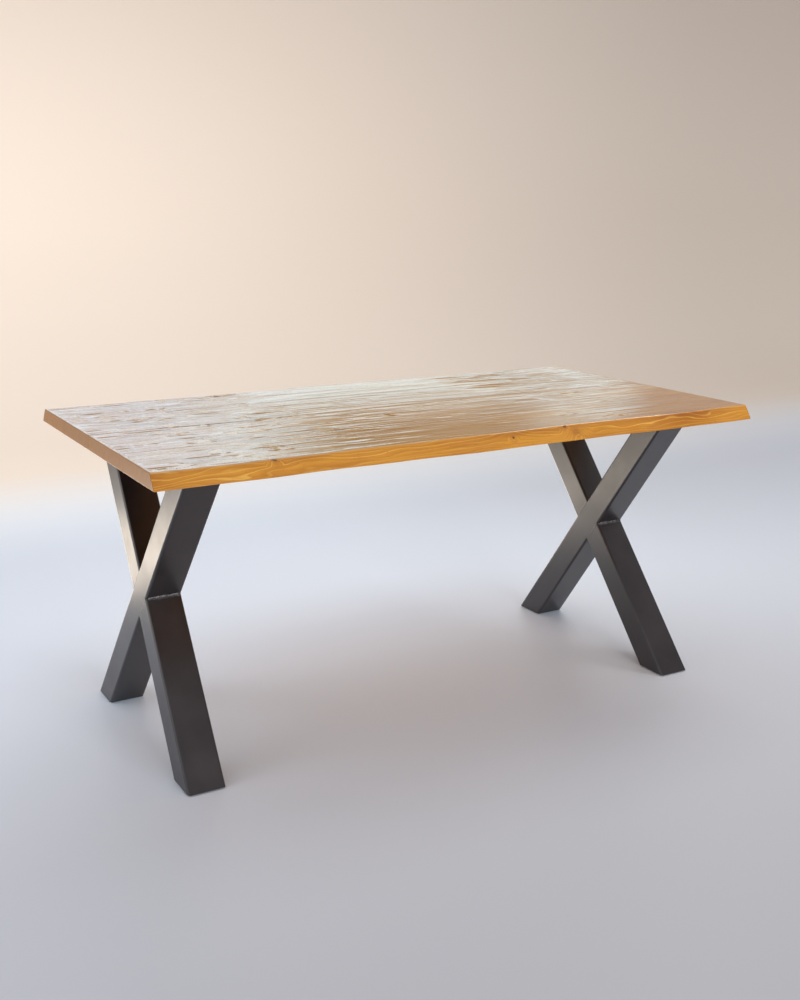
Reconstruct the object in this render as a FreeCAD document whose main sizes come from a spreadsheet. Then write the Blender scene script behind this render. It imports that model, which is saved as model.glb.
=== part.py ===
import FreeCAD, Part
import math
import os

import Sketcher

# Sawbuck dining table: a top of four boards with live long edges, on two welded X frames of rectangular tube.
# Millimetres. X runs along the table, +Y to its rear, Z up.
# The origin is on the floor under the middle of the top.

# Driving sizes: name, value, meaning
DRIVING_SIZES = (
    ("table_length", 1700, "along the boards"),
    ("table_height", 755, "floor to the top face"),
    ("board_thickness", 36, "planed thickness of the top"),
    ("rear_board_width", 213, "at the underside, mean of the live edge"),
    ("rear_middle_board_width", 217, "joint to joint"),
    ("front_middle_board_width", 240, "joint to joint"),
    ("front_board_width", 230, "at the underside, mean of the live edge"),
    ("edge_set_back", 24, "top face inside the underside, along each long edge"),
    ("long_wave_swing", 2.6, "live edge, slow wave, either way"),
    ("long_wave_pitch", 640, "live edge, length of the slow wave"),
    ("short_wave_swing", 1.8, "live edge, quick wave, either way"),
    ("short_wave_pitch", 270, "live edge, length of the quick wave"),
    ("tube_depth", 90, "along the table"),
    ("tube_width", 75, "in the plane of the X"),
    ("tube_wall", 3, "wall of the tube"),
    ("tube_bend", 3, "inner radius of the tube's corners"),
    ("frame_spread", 566, "between the tubes' centre lines at their feet, and at their heads"),
    ("frame_inset", 116, "end of the top to the outer face of a frame"),
    ("foot_plate_thickness", 4, "plate that closes a tube's foot"),
    ("glide_thickness", 3, "pad under a foot"),
    ("glide_margin", 12, "edge of a foot to its glide"),
    ("top_plate_length", 790, "across the table"),
    ("top_plate_thickness", 6, "flat bar under the boards"),
    ("top_plate_corner", 10, "corner radius of the flat bar"),
    ("crossing_bead", 6, "leg of a weld bead in a corner of the X"),
    ("plate_bead", 5, "leg of a weld bead under the top plate"),
    ("bolt_diameter", 8, "shank"),
    ("bolt_length", 25, "under the head"),
    ("bolt_head_flats", 13, "across the hexagon"),
    ("bolt_head_height", 5.3, "hexagon"),
    ("inner_bolt_offset", 140, "middle of the table to the bolts of the middle boards"),
    ("end_bolt_margin", 31, "end of the top plate to the bolt of an outer board"),
    ("slot_travel", 8, "length that a slot leaves for the wood to swell and shrink"),
    ("slot_clearance", 0.5, "bolt to the side of its slot"),
    ("washer_diameter", 24, "outside"),
    ("washer_thickness", 2, "flat washer"),
    ("washer_clearance", 0.4, "bolt to washer"),
    ("insert_diameter", 12, "threaded insert, outside"),
    ("insert_length", 20, "threaded insert"),
    ("insert_clearance", 0.1, "insert to its hole, and bolt to insert"),
    ("insert_hole_reserve", 3, "hole deeper than its insert"),
)

# Sizes worked out from the driving ones
DERIVED_SIZES = (
    ("tube_corner", "tube_bend + tube_wall", "outer radius of the tube's corners"),
    ("top_width", "rear_board_width + rear_middle_board_width + front_middle_board_width + front_board_width",
     "at the underside"),
    ("rear_joint", "top_width / 2 - rear_board_width", "Y of the joint beside the rear board"),
    ("middle_joint", "rear_joint - rear_middle_board_width", "Y of the joint between the middle boards"),
    ("front_joint", "middle_joint - front_middle_board_width", "Y of the joint beside the front board"),
    ("edge_swing", "long_wave_swing + short_wave_swing", "live edge past its mean line"),
    ("underside", "table_height - board_thickness", "height of the boards' underside"),
    ("tube_foot", "glide_thickness + foot_plate_thickness", "height of the tubes' lower ends"),
    ("tube_head", "underside - top_plate_thickness", "height of the tubes' upper ends"),
    ("crossing", "(tube_foot + tube_head) / 2", "height at which the centre lines cross"),
    ("lean", "atan(frame_spread / (tube_head - tube_foot))", "tubes from the vertical"),
    ("blank_length", "2 * (crossing / cos(lean) + tube_width * tan(lean))", "tube before its ends are cut"),
    ("frame_middle", "table_length / 2 - frame_inset - tube_depth / 2", "X of the right frame's plane"),
    ("side_corner", "tube_width / 2 / cos(lean)", "front and rear corners of the X from its middle"),
    ("end_corner", "tube_width / 2 / sin(lean)", "upper and lower corners of the X from its middle"),
    ("head_offset", "(tube_head - crossing) * tan(lean)", "tube's centre line at its head, from the middle"),
    ("foot_offset", "(crossing - glide_thickness) * tan(lean)", "tube's centre line at its glide"),
    ("seam_length", "tube_width / sin(2 * lean) - 2 * tube_corner", "ground seam beside an arm's end"),
    ("seam_offset", "tube_width / 2 / tan(2 * lean)", "middle of the seam along the through tube"),
    ("seam_leg", "(2 - sqrt(2)) * tube_corner", "weld that fills the hollow beside the tube's round corner"),
    ("outer_bolt_offset", "top_plate_length / 2 - end_bolt_margin", "middle of the table to the end bolts"),
    ("slot_radius", "bolt_diameter / 2 + slot_clearance", "half the width of a slot"),
    ("insert_bore", "bolt_diameter + 2 * insert_clearance", "bore of an insert"),
    ("hole_depth", "insert_length + insert_hole_reserve", "blind hole for an insert"),
)

FRAMES = {"left": "-Sizes.frame_middle", "right": "Sizes.frame_middle"}
LEAN_TO_FRONT = FreeCAD.Vector(1, 0, 0)
LEAN_TO_REAR = FreeCAD.Vector(-1, 0, 0)
LIE_ALONG_X = FreeCAD.Vector(0, 1, 0)
RIGHT_ANGLE = 90
FIRST_BOLT = "Sizes.inner_bolt_offset"
LIVE_EDGE_POINTS = 37
LOWER_EDGE_PHASES = (1.18, 0.64)
UPPER_EDGE_PHASES = (1.38, 2.97)


def make_sheet(doc):
    """Sheet of all sizes: one row each, with the name, the value under that alias, and the meaning."""
    sheet = doc.addObject("Spreadsheet::Sheet", "Sizes")
    rows = [(name, str(value), meaning) for name, value, meaning in DRIVING_SIZES]
    rows += [(name, "=" + formula, meaning) for name, formula, meaning in DERIVED_SIZES]
    for number, (name, content, meaning) in enumerate(rows, start=1):
        sheet.set(f"A{number}", name)
        sheet.set(f"B{number}", content)
        sheet.setAlias(f"B{number}", name)
        sheet.set(f"C{number}", meaning)
    doc.recompute()
    return sheet


def bind(item, **expressions):
    """Tie an item's properties to expressions of the sheet."""
    for name, text in expressions.items():
        item.setExpression(name, text)


def place(item, x="0", y="0", z="0", turn_axis=None, turn_angle=None):
    """Tie an item's place, and its turn about one axis, to expressions of the sheet."""
    if turn_axis is not None:
        item.Placement = FreeCAD.Placement(FreeCAD.Vector(), FreeCAD.Rotation(turn_axis, RIGHT_ANGLE))
        item.setExpression("Placement.Rotation.Angle", turn_angle)
    item.setExpression("Placement.Base.x", x)
    item.setExpression("Placement.Base.y", y)
    item.setExpression("Placement.Base.z", z)
    return item


def named(item, label):
    """Give a finished sub-part its name."""
    item.Label = label
    return item


# Solids made whole, and what is cut or joined from them

def make_box(doc, name, length, width, height):
    """Block along X, Y and Z."""
    block = doc.addObject("Part::Box", name)
    bind(block, Length=length, Width=width, Height=height)
    return block


def make_rod(doc, name, radius, length):
    """Round rod along Z until it is turned."""
    rod = doc.addObject("Part::Cylinder", name)
    bind(rod, Radius=radius, Height=length)
    return rod


def cut(doc, name, base, tool):
    """Base without what the tool fills."""
    result = doc.addObject("Part::Cut", name)
    result.Base = base
    result.Tool = tool
    return result


def common(doc, name, base, tool):
    """What base and tool share."""
    result = doc.addObject("Part::Common", name)
    result.Base = base
    result.Tool = tool
    return result


def group(doc, name, members):
    """Several solids as one item."""
    result = doc.addObject("Part::Compound", name)
    result.Links = members
    return result


# Sketches

def origin_part(body, role):
    """A plane or axis of the body's own origin."""
    return next(part for part in body.Origin.OriginFeatures if part.Role == role)


def new_sketch(body, name):
    """Empty sketch on the body's XY plane."""
    sketch = body.newObject("Sketcher::SketchObject", name)
    sketch.AttachmentSupport = [(origin_part(body, "XY_Plane"), "")]
    sketch.MapMode = "FlatFace"
    return sketch


def number(sketch, text):
    """Present value of an expression, to start a sketch's lines near their places."""
    value = sketch.evalExpression(text)
    return float(getattr(value, "Value", value))


def hold(sketch, kind, *where_and_size):
    """Add a sized constraint whose last argument is an expression."""
    *where, text = where_and_size
    index = sketch.addConstraint(Sketcher.Constraint(kind, *where, number(sketch, text)))
    sketch.setExpression(f"Constraints[{index}]", text)


def draw_circle(sketch, y, diameter):
    """Circle with its middle on the sketch's Y axis."""
    middle = FreeCAD.Vector(0, number(sketch, y), 0)
    circle = Part.Circle(middle, FreeCAD.Vector(0, 0, 1), number(sketch, diameter) / 2)
    index = sketch.addGeometry(circle, False)
    sketch.addConstraint(Sketcher.Constraint("PointOnObject", index, 3, -2))
    hold(sketch, "DistanceY", -1, 1, index, 3, y)
    hold(sketch, "Diameter", index, diameter)


def draw_polygon(sketch, corners):
    """Closed polygon, each corner held by its own x and y."""
    points = [FreeCAD.Vector(number(sketch, x), number(sketch, y), 0) for x, y in corners]
    following = points[1:] + points[:1]
    lines = [sketch.addGeometry(Part.LineSegment(a, b), False) for a, b in zip(points, following)]
    for line, after in zip(lines, lines[1:] + lines[:1]):
        sketch.addConstraint(Sketcher.Constraint("Coincident", line, 2, after, 1))
    for line, (x, y) in zip(lines, corners):
        hold(sketch, "DistanceX", -1, 1, line, 1, x)
        hold(sketch, "DistanceY", -1, 1, line, 1, y)


def draw_arc(sketch, x, y, radius, quarter, quarters):
    """Arc about x, y that starts a number of quarter turns from +x and runs on for some more."""
    circle = Part.Circle(FreeCAD.Vector(x, y, 0), FreeCAD.Vector(0, 0, 1), radius)
    start = quarter * math.pi / 2
    arc = Part.ArcOfCircle(circle, start, start + quarters * math.pi / 2)
    return sketch.addGeometry(arc, False)


def draw_line(sketch, start, end):
    """Line between two x, y points."""
    return sketch.addGeometry(Part.LineSegment(FreeCAD.Vector(*start, 0), FreeCAD.Vector(*end, 0)), False)


def join_tangent(sketch, pieces):
    """Join a ring of lines and arcs end to start, each running smoothly into the next."""
    for piece, after in zip(pieces, pieces[1:] + pieces[:1]):
        sketch.addConstraint(Sketcher.Constraint("Tangent", piece, 2, after, 1))


def draw_rounded_rectangle(sketch, width, height, corner):
    """Rectangle about the sketch's origin with round corners."""
    across, up, radius = number(sketch, width) / 2, number(sketch, height) / 2, number(sketch, corner)
    inner_across, inner_up = across - radius, up - radius
    bottom = draw_line(sketch, (-inner_across, -up), (inner_across, -up))
    first = draw_arc(sketch, inner_across, -inner_up, radius, 3, 1)
    right = draw_line(sketch, (across, -inner_up), (across, inner_up))
    second = draw_arc(sketch, inner_across, inner_up, radius, 0, 1)
    top = draw_line(sketch, (inner_across, up), (-inner_across, up))
    third = draw_arc(sketch, -inner_across, inner_up, radius, 1, 1)
    left = draw_line(sketch, (-across, inner_up), (-across, -inner_up))
    fourth = draw_arc(sketch, -inner_across, -inner_up, radius, 2, 1)
    join_tangent(sketch, [bottom, first, right, second, top, third, left, fourth])
    for level in (bottom, top):
        sketch.addConstraint(Sketcher.Constraint("Horizontal", level))
    for upright in (right, left):
        sketch.addConstraint(Sketcher.Constraint("Vertical", upright))
    for arc in (second, third, fourth):
        sketch.addConstraint(Sketcher.Constraint("Equal", first, arc))
    sketch.addConstraint(Sketcher.Constraint("Symmetric", bottom, 1, top, 1, -1, 1))
    hold(sketch, "DistanceX", left, 1, right, 1, width)
    hold(sketch, "DistanceY", bottom, 1, top, 1, height)
    hold(sketch, "Radius", first, corner)


def draw_slot(sketch, y, radius, travel):
    """Slot along the sketch's Y axis with its middle at y: two half circles, a travel apart."""
    lower = f"{y} - {travel} / 2"
    low, half = number(sketch, lower), number(sketch, radius)
    high = low + number(sketch, travel)
    right = draw_line(sketch, (half, low), (half, high))
    upper_arc = draw_arc(sketch, 0, high, half, 0, 2)
    left = draw_line(sketch, (-half, high), (-half, low))
    lower_arc = draw_arc(sketch, 0, low, half, 2, 2)
    join_tangent(sketch, [right, upper_arc, left, lower_arc])
    sketch.addConstraint(Sketcher.Constraint("Vertical", right))
    sketch.addConstraint(Sketcher.Constraint("Equal", upper_arc, lower_arc))
    hold(sketch, "Radius", lower_arc, radius)
    hold(sketch, "DistanceY", lower_arc, 3, upper_arc, 3, travel)
    sketch.addConstraint(Sketcher.Constraint("PointOnObject", lower_arc, 3, -2))
    hold(sketch, "DistanceY", -1, 1, lower_arc, 3, lower)


# Bodies made from sketches

def add_pad(body, sketch, length, midplane=False, downward=False):
    """Raise a sketch's outline into a solid."""
    pad = body.newObject("PartDesign::Pad", sketch.Name + "_pad")
    pad.Profile = sketch
    pad.Midplane = midplane
    pad.Reversed = downward
    bind(pad, Length=length)
    return pad


def repeat_at_bolts(doc, body, features):
    """Repeat features made at a frame's first bolt at all four: outward once, then mirrored to the front."""
    outward = doc.addObject("PartDesign::LinearPattern", body.Name + "_outward")
    outward.Direction = (origin_part(body, "Y_Axis"), [""])
    outward.Occurrences = 2
    bind(outward, Length="Sizes.outer_bolt_offset - Sizes.inner_bolt_offset")
    mirrored = doc.addObject("PartDesign::Mirrored", body.Name + "_mirrored")
    mirrored.MirrorPlane = (origin_part(body, "XZ_Plane"), [""])
    repeated = body.newObject("PartDesign::MultiTransform", body.Name + "_repeated")
    repeated.Originals = features
    body.addObject(outward)
    body.addObject(mirrored)
    repeated.Transformations = [outward, mirrored]
    body.Tip = repeated


def make_tube_blank(doc, name, x, turn_axis, hollow):
    """Straight tube, or the solid bar of its outline, leaning through the frame's crossing."""
    body = doc.addObject("PartDesign::Body", name)
    section = new_sketch(body, name + "_section")
    draw_rounded_rectangle(section, "Sizes.tube_depth", "Sizes.tube_width", "Sizes.tube_corner")
    if hollow:
        draw_rounded_rectangle(section, "Sizes.tube_depth - 2 * Sizes.tube_wall",
                               "Sizes.tube_width - 2 * Sizes.tube_wall", "Sizes.tube_bend")
    add_pad(body, section, "Sizes.blank_length", midplane=True)
    return place(body, x=x, z="Sizes.crossing", turn_axis=turn_axis, turn_angle="Sizes.lean")


def make_top_plate(doc, side, x):
    """Flat bar across the heads of both tubes and as wide as they are deep, with a slot for each bolt."""
    body = doc.addObject("PartDesign::Body", side + "_plate")
    outline = new_sketch(body, side + "_plate_outline")
    draw_rounded_rectangle(outline, "Sizes.tube_depth", "Sizes.top_plate_length", "Sizes.top_plate_corner")
    add_pad(body, outline, "Sizes.top_plate_thickness")
    slot = new_sketch(body, side + "_plate_slot")
    draw_slot(slot, FIRST_BOLT, "Sizes.slot_radius", "Sizes.slot_travel")
    doc.recompute()
    pocket = body.newObject("PartDesign::Pocket", side + "_plate_pocket")
    pocket.Profile = slot
    pocket.Type = "ThroughAll"
    pocket.Midplane = True
    repeat_at_bolts(doc, body, [pocket])
    return place(body, x=x, z="Sizes.tube_head")


def make_bolts(doc, side, x):
    """Hexagon bolts, heads down, from under the washers up into the inserts."""
    body = doc.addObject("PartDesign::Body", side + "_bolt")
    head = new_sketch(body, side + "_bolt_head")
    radius = "Sizes.bolt_head_flats / 2 / cos(30)"
    turns = range(0, 360, 60)
    corners = [(f"{radius} * cos({turn})", f"{FIRST_BOLT} + {radius} * sin({turn})") for turn in turns]
    draw_polygon(head, corners)
    head_pad = add_pad(body, head, "Sizes.bolt_head_height", downward=True)
    shank = new_sketch(body, side + "_bolt_shank")
    draw_circle(shank, FIRST_BOLT, "Sizes.bolt_diameter")
    shank_pad = add_pad(body, shank, "Sizes.bolt_length")
    repeat_at_bolts(doc, body, [head_pad, shank_pad])
    return place(body, x=x, z="Sizes.tube_head - Sizes.washer_thickness")


def make_rings(doc, name, outside, bore, length):
    """A ring at each bolt, for the washers and for the threaded inserts."""
    body = doc.addObject("PartDesign::Body", name)
    section = new_sketch(body, name + "_section")
    draw_circle(section, FIRST_BOLT, outside)
    draw_circle(section, FIRST_BOLT, bore)
    pad = add_pad(body, section, length)
    repeat_at_bolts(doc, body, [pad])
    return body


def make_glide(doc, name, x, y):
    """Pad under one foot, inside the outline of its plate."""
    body = doc.addObject("PartDesign::Body", name)
    outline = new_sketch(body, name + "_outline")
    half_x = "(Sizes.tube_depth / 2 - Sizes.glide_margin)"
    half_y = "(Sizes.side_corner - Sizes.glide_margin)"
    signs = (("-", "-"), ("+", "-"), ("+", "+"), ("-", "+"))
    draw_polygon(outline, [(sign_x + half_x, sign_y + half_y) for sign_x, sign_y in signs])
    add_pad(body, outline, "Sizes.glide_thickness")
    return place(body, x=x, y=y)


# Welds

def make_beads(doc, name, x, radius, length, corners):
    """Round rods along X, one on each corner line, to be cut back to the corner's open side."""
    rods = []
    for index, (y, z) in enumerate(corners):
        rod = make_rod(doc, f"{name}_{index}", radius, length)
        rods.append(place(rod, f"{x} - {length} / 2", y, z, turn_axis=LIE_ALONG_X, turn_angle="90"))
    return group(doc, name, rods)


def make_ground_seams(doc, name, x, side):
    """Weld ground flush on both flat faces beside an arm's end; side is + above the through tube, - below."""
    body = doc.addObject("PartDesign::Body", name)
    section = new_sketch(body, name + "_section")
    face_y = f"{side}Sizes.tube_width / 2"
    for face in ("-", "+"):
        face_x = f"{face}Sizes.tube_depth / 2"
        inner_x = f"{face}(Sizes.tube_depth / 2 - Sizes.seam_leg)"
        inner_y = f"{side}(Sizes.tube_width / 2 - Sizes.seam_leg)"
        draw_polygon(section, [(face_x, face_y), (inner_x, face_y), (face_x, inner_y)])
    section.setExpression("AttachmentOffset.Base.z", f"{side}Sizes.seam_offset")
    add_pad(body, section, "Sizes.seam_length", midplane=True)
    return place(body, x=x, z="Sizes.crossing", turn_axis=LEAN_TO_FRONT, turn_angle="Sizes.lean")


# The frames

def make_arm_zone(doc, name, x, side):
    """Block that lies on the through tube's flank, above it for side + and below it for side -."""
    zone = make_box(doc, name, "2 * Sizes.tube_depth", "Sizes.blank_length", "2 * Sizes.blank_length")
    near = "Sizes.tube_width / 2" if side == "+" else "(-Sizes.tube_width / 2 - Sizes.blank_length)"
    return place(zone, f"{x} - Sizes.tube_depth",
                 f"{near} * cos(Sizes.lean) + Sizes.blank_length * sin(Sizes.lean)",
                 f"Sizes.crossing + {near} * sin(Sizes.lean) - Sizes.blank_length * cos(Sizes.lean)",
                 turn_axis=LEAN_TO_FRONT, turn_angle="Sizes.lean")


def make_level_zone(doc, name, x, bottom, top):
    """Level block that keeps what lies between two heights."""
    zone = make_box(doc, name, "2 * Sizes.tube_depth", "2 * Sizes.blank_length", f"{top} - {bottom}")
    return place(zone, f"{x} - Sizes.tube_depth", "-Sizes.blank_length", bottom)


def make_frame(doc, side, x):
    """One X frame with its plate, welds, feet, glides and fasteners.

    The through tube leans to the front and the two arms, which share the other centre line, to the rear.
    """
    through_bar = make_tube_blank(doc, side + "_through_bar", x, LEAN_TO_FRONT, hollow=False)
    arm_bar = make_tube_blank(doc, side + "_arm_bar", x, LEAN_TO_REAR, hollow=False)
    through_blank = make_tube_blank(doc, side + "_through_blank", x, LEAN_TO_FRONT, hollow=True)
    arm_blank = make_tube_blank(doc, side + "_arm_blank", x, LEAN_TO_REAR, hollow=True)
    tube_zone = make_level_zone(doc, side + "_tube_zone", x, "Sizes.tube_foot", "Sizes.tube_head")
    foot_zone = make_level_zone(doc, side + "_foot_zone", x, "Sizes.glide_thickness", "Sizes.tube_foot")

    parts = [named(common(doc, side + "_through", through_blank, tube_zone), side + "_through_tube")]
    arm_tube = common(doc, side + "_arm_tube", arm_blank, tube_zone)
    for level, sign in (("upper", "+"), ("lower", "-")):
        zone = make_arm_zone(doc, f"{side}_{level}_zone", x, sign)
        parts.append(named(common(doc, f"{side}_{level}", arm_tube, zone), f"{side}_{level}_arm"))

    corners = [("-Sizes.side_corner", "Sizes.crossing"), ("Sizes.side_corner", "Sizes.crossing"),
               ("0", "Sizes.crossing + Sizes.end_corner"), ("0", "Sizes.crossing - Sizes.end_corner")]
    flat_depth = "(Sizes.tube_depth - 2 * Sizes.tube_corner)"
    rods = make_beads(doc, side + "_crossing_rods", x, "Sizes.crossing_bead", flat_depth, corners)
    beads = cut(doc, side + "_beads", cut(doc, side + "_beads_cut", rods, through_bar), arm_bar)
    upper_seams = make_ground_seams(doc, side + "_upper_seams", x, "+")
    lower_seams = make_ground_seams(doc, side + "_lower_seams", x, "-")
    welds = group(doc, side + "_welds", [beads, upper_seams, lower_seams])
    parts.append(named(welds, side + "_crossing_welds"))

    parts.append(named(make_top_plate(doc, side, x), side + "_top_plate"))
    heads = [(f"{sign}(Sizes.head_offset {flank} Sizes.side_corner)", "Sizes.tube_head")
             for sign in ("-", "+") for flank in ("-", "+")]
    rods = make_beads(doc, side + "_head_rods", x, "Sizes.plate_bead", flat_depth, heads)
    under_plate = common(doc, side + "_head_beads", rods, tube_zone)
    beside_through = cut(doc, side + "_head_beads_cut", under_plate, through_bar)
    parts.append(named(cut(doc, side + "_head_welds", beside_through, arm_bar), side + "_plate_welds"))

    for end, foot_bar, sign in (("front", arm_bar, "-"), ("rear", through_bar, "+")):
        foot = common(doc, f"{side}_{end}_foot", foot_bar, foot_zone)
        parts.append(named(foot, f"{side}_{end}_foot_plate"))
        glide = make_glide(doc, f"{side}_{end}_pad", x, f"{sign}Sizes.foot_offset")
        parts.append(named(glide, f"{side}_{end}_glide"))

    parts.append(named(make_bolts(doc, side, x), side + "_bolts"))
    washers = make_rings(doc, side + "_washer", "Sizes.washer_diameter",
                         "Sizes.bolt_diameter + 2 * Sizes.washer_clearance", "Sizes.washer_thickness")
    place(washers, x=x, z="Sizes.tube_head - Sizes.washer_thickness")
    inserts = make_rings(doc, side + "_insert", "Sizes.insert_diameter", "Sizes.insert_bore",
                         "Sizes.insert_length")
    place(inserts, x=x, z="Sizes.underside")
    return parts + [named(washers, side + "_washers"), named(inserts, side + "_inserts")]


# The top

def make_insert_holes(doc):
    """Blind holes in the underside, one for each insert of both frames."""
    holes = []
    radius = "Sizes.insert_diameter / 2 + Sizes.insert_clearance"
    for side, x in FRAMES.items():
        for half in ("-", "+"):
            for offset in ("inner", "outer"):
                hole = make_rod(doc, f"{side}_hole_{len(holes)}", radius, "Sizes.hole_depth")
                holes.append(place(hole, x, f"{half}Sizes.{offset}_bolt_offset", "Sizes.underside"))
    return group(doc, "insert_holes", holes)


def live_edge(sheet, x, phases):
    """Swing of a live edge at x: a slow and a quick wave added, each with its own phase."""
    slow = sheet.long_wave_swing * math.sin(2 * math.pi * x / sheet.long_wave_pitch + phases[0])
    quick = sheet.short_wave_swing * math.sin(2 * math.pi * x / sheet.short_wave_pitch + phases[1])
    return slow + quick


def edge_wire(sheet, side, share):
    """Outline of the waste outside a live edge, at a share of the board's thickness above its underside."""
    reach = sheet.table_length / 2 + sheet.board_thickness
    outside = sheet.top_width / 2 + 2 * sheet.board_thickness
    height = sheet.underside + share * sheet.board_thickness
    points = []
    for step in range(LIVE_EDGE_POINTS):
        x = reach * (2 * step / (LIVE_EDGE_POINTS - 1) - 1)
        lower = sheet.top_width / 2 + live_edge(sheet, x, LOWER_EDGE_PHASES)
        upper = sheet.top_width / 2 - sheet.edge_set_back + live_edge(sheet, x, UPPER_EDGE_PHASES)
        points.append(FreeCAD.Vector(side * x, side * (lower + share * (upper - lower)), height))
    curve = Part.BSplineCurve()
    curve.interpolate(points)
    last_corner = FreeCAD.Vector(side * reach, side * outside, height)
    first_corner = FreeCAD.Vector(-side * reach, side * outside, height)
    back = Part.makePolygon([points[-1], last_corner, first_corner, points[0]])
    return Part.Wire([curve.toShape()] + back.Edges)


def make_edge_waste(doc, sheet, name, side):
    """Wood hewn off outside a sloped, wavy long edge; side is 1 at the rear and -1 at the front."""
    below, above = -0.5, 1.5
    waste = doc.addObject("Part::Feature", name)
    waste.Shape = Part.makeLoft([edge_wire(sheet, side, below), edge_wire(sheet, side, above)], True, True)
    return waste


def make_board(doc, name, start, width, holes, waste=None):
    """One board, from its front side at start, with the insert holes and any live edge cut from it."""
    blank = make_box(doc, name + "_blank", "Sizes.table_length", width, "Sizes.board_thickness")
    place(blank, "-Sizes.table_length / 2", start, "Sizes.underside")
    shaped = cut(doc, name + "_hewn", blank, waste) if waste else blank
    return named(cut(doc, name + "_bored", shaped, holes), name)


def make_top(doc, sheet):
    """The four boards, rear to front."""
    holes = make_insert_holes(doc)
    rear_waste = make_edge_waste(doc, sheet, "rear_edge_waste", 1)
    front_waste = make_edge_waste(doc, sheet, "front_edge_waste", -1)
    return [
        make_board(doc, "rear_board", "Sizes.rear_joint", "Sizes.rear_board_width + Sizes.edge_swing",
                   holes, rear_waste),
        make_board(doc, "rear_middle_board", "Sizes.middle_joint", "Sizes.rear_middle_board_width", holes),
        make_board(doc, "front_middle_board", "Sizes.front_joint", "Sizes.front_middle_board_width", holes),
        make_board(doc, "front_board", "-Sizes.top_width / 2 - Sizes.edge_swing",
                   "Sizes.front_board_width + Sizes.edge_swing", holes, front_waste),
    ]


def check(doc, parts):
    """Stop if anything failed to compute or a sub-part has no sound solid."""
    for item in doc.Objects:
        if "Invalid" in item.State or "Error" in item.State:
            raise RuntimeError(f"{item.Label} failed: {item.State}")
    for part in parts:
        if part.Shape.isNull() or not part.Shape.isValid() or not part.Shape.Solids:
            raise RuntimeError(f"{part.Label} has no sound solid")


def main():
    doc = FreeCAD.newDocument("SawbuckTable")
    sheet = make_sheet(doc)
    parts = make_top(doc, sheet)
    for side, x in FRAMES.items():
        parts += make_frame(doc, side, x)
    doc.recompute()
    check(doc, parts)
    os.makedirs("parts", exist_ok=True)
    for part in parts:
        part.Shape.exportStep(f"parts/{part.Label}.step")
        print(part.Label, len(part.Shape.Solids), round(part.Shape.Volume))


main()
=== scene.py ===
"""Looks of the sawbuck table: hewn, lacquered boards on two coated steel X frames, in a pale studio."""

import logging
import math
from dataclasses import dataclass, field
from enum import Enum

import bpy
import numpy as np
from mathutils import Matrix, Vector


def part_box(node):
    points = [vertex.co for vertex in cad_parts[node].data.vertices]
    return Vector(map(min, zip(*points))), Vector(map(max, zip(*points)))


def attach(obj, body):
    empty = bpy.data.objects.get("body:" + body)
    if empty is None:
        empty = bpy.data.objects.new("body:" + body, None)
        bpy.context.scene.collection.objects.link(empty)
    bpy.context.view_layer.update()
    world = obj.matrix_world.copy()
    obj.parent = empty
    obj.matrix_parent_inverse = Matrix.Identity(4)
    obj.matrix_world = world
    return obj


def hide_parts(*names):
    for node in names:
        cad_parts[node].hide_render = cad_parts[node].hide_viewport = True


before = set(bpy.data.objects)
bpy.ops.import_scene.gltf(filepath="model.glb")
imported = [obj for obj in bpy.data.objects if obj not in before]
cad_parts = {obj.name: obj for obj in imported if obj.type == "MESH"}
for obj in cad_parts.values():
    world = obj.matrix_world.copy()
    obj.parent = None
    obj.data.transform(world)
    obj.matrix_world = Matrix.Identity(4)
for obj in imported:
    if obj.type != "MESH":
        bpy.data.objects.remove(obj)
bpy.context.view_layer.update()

LOG = logging.getLogger("sawbuck_table")
BODY = "root"

Array = np.ndarray
Socket = bpy.types.NodeSocket
Colour = tuple[float, float, float]


# Meshes

def grid_faces(rows: int, columns: int, closed: bool = False) -> Array:
    """Quads of a grid of points, point (i, j) having the index i * columns + j.

    Args:
        rows: number of points along the first parameter.
        columns: number of points along the second parameter.
        closed: whether the last column joins the first one again.

    Returns:
        Indices of the quads, one row of four for each.
    """
    i, j = np.meshgrid(np.arange(rows - 1), np.arange(columns if closed else columns - 1), indexing="ij")
    after = (j + 1) % columns
    quads = (i * columns + j, i * columns + after, (i + 1) * columns + after, (i + 1) * columns + j)
    return np.stack(quads, axis=-1).reshape(-1, 4)


def rounded_rectangle(width: float, height: float, radius: float, steps: int) -> Array:
    """Closed outline of a rectangle with round corners.

    Each corner is centre + radius * (cos t, sin t) over a quarter turn, with one more point on the flat
    just before and after it, so that the shading stays flat between the corners.

    Args:
        width: size along the first axis.
        height: size along the second axis.
        radius: corner radius.
        steps: number of arc points in each corner.

    Returns:
        Points of the outline, turning from the first axis to the second.
    """
    quarter = np.linspace(0.0, math.pi / 2, steps)
    arc = np.stack((np.cos(quarter), np.sin(quarter)), axis=-1) * radius
    lead = radius / 6
    corner = np.concatenate(([[radius, -lead]], arc, [[-lead, radius]]))
    turned = np.stack((-corner[:, 1], corner[:, 0]), axis=-1)
    x, y = width / 2 - radius, height / 2 - radius
    return np.concatenate((corner + (x, y), turned + (-x, y), -corner + (-x, -y), -turned + (x, -y)))


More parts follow.
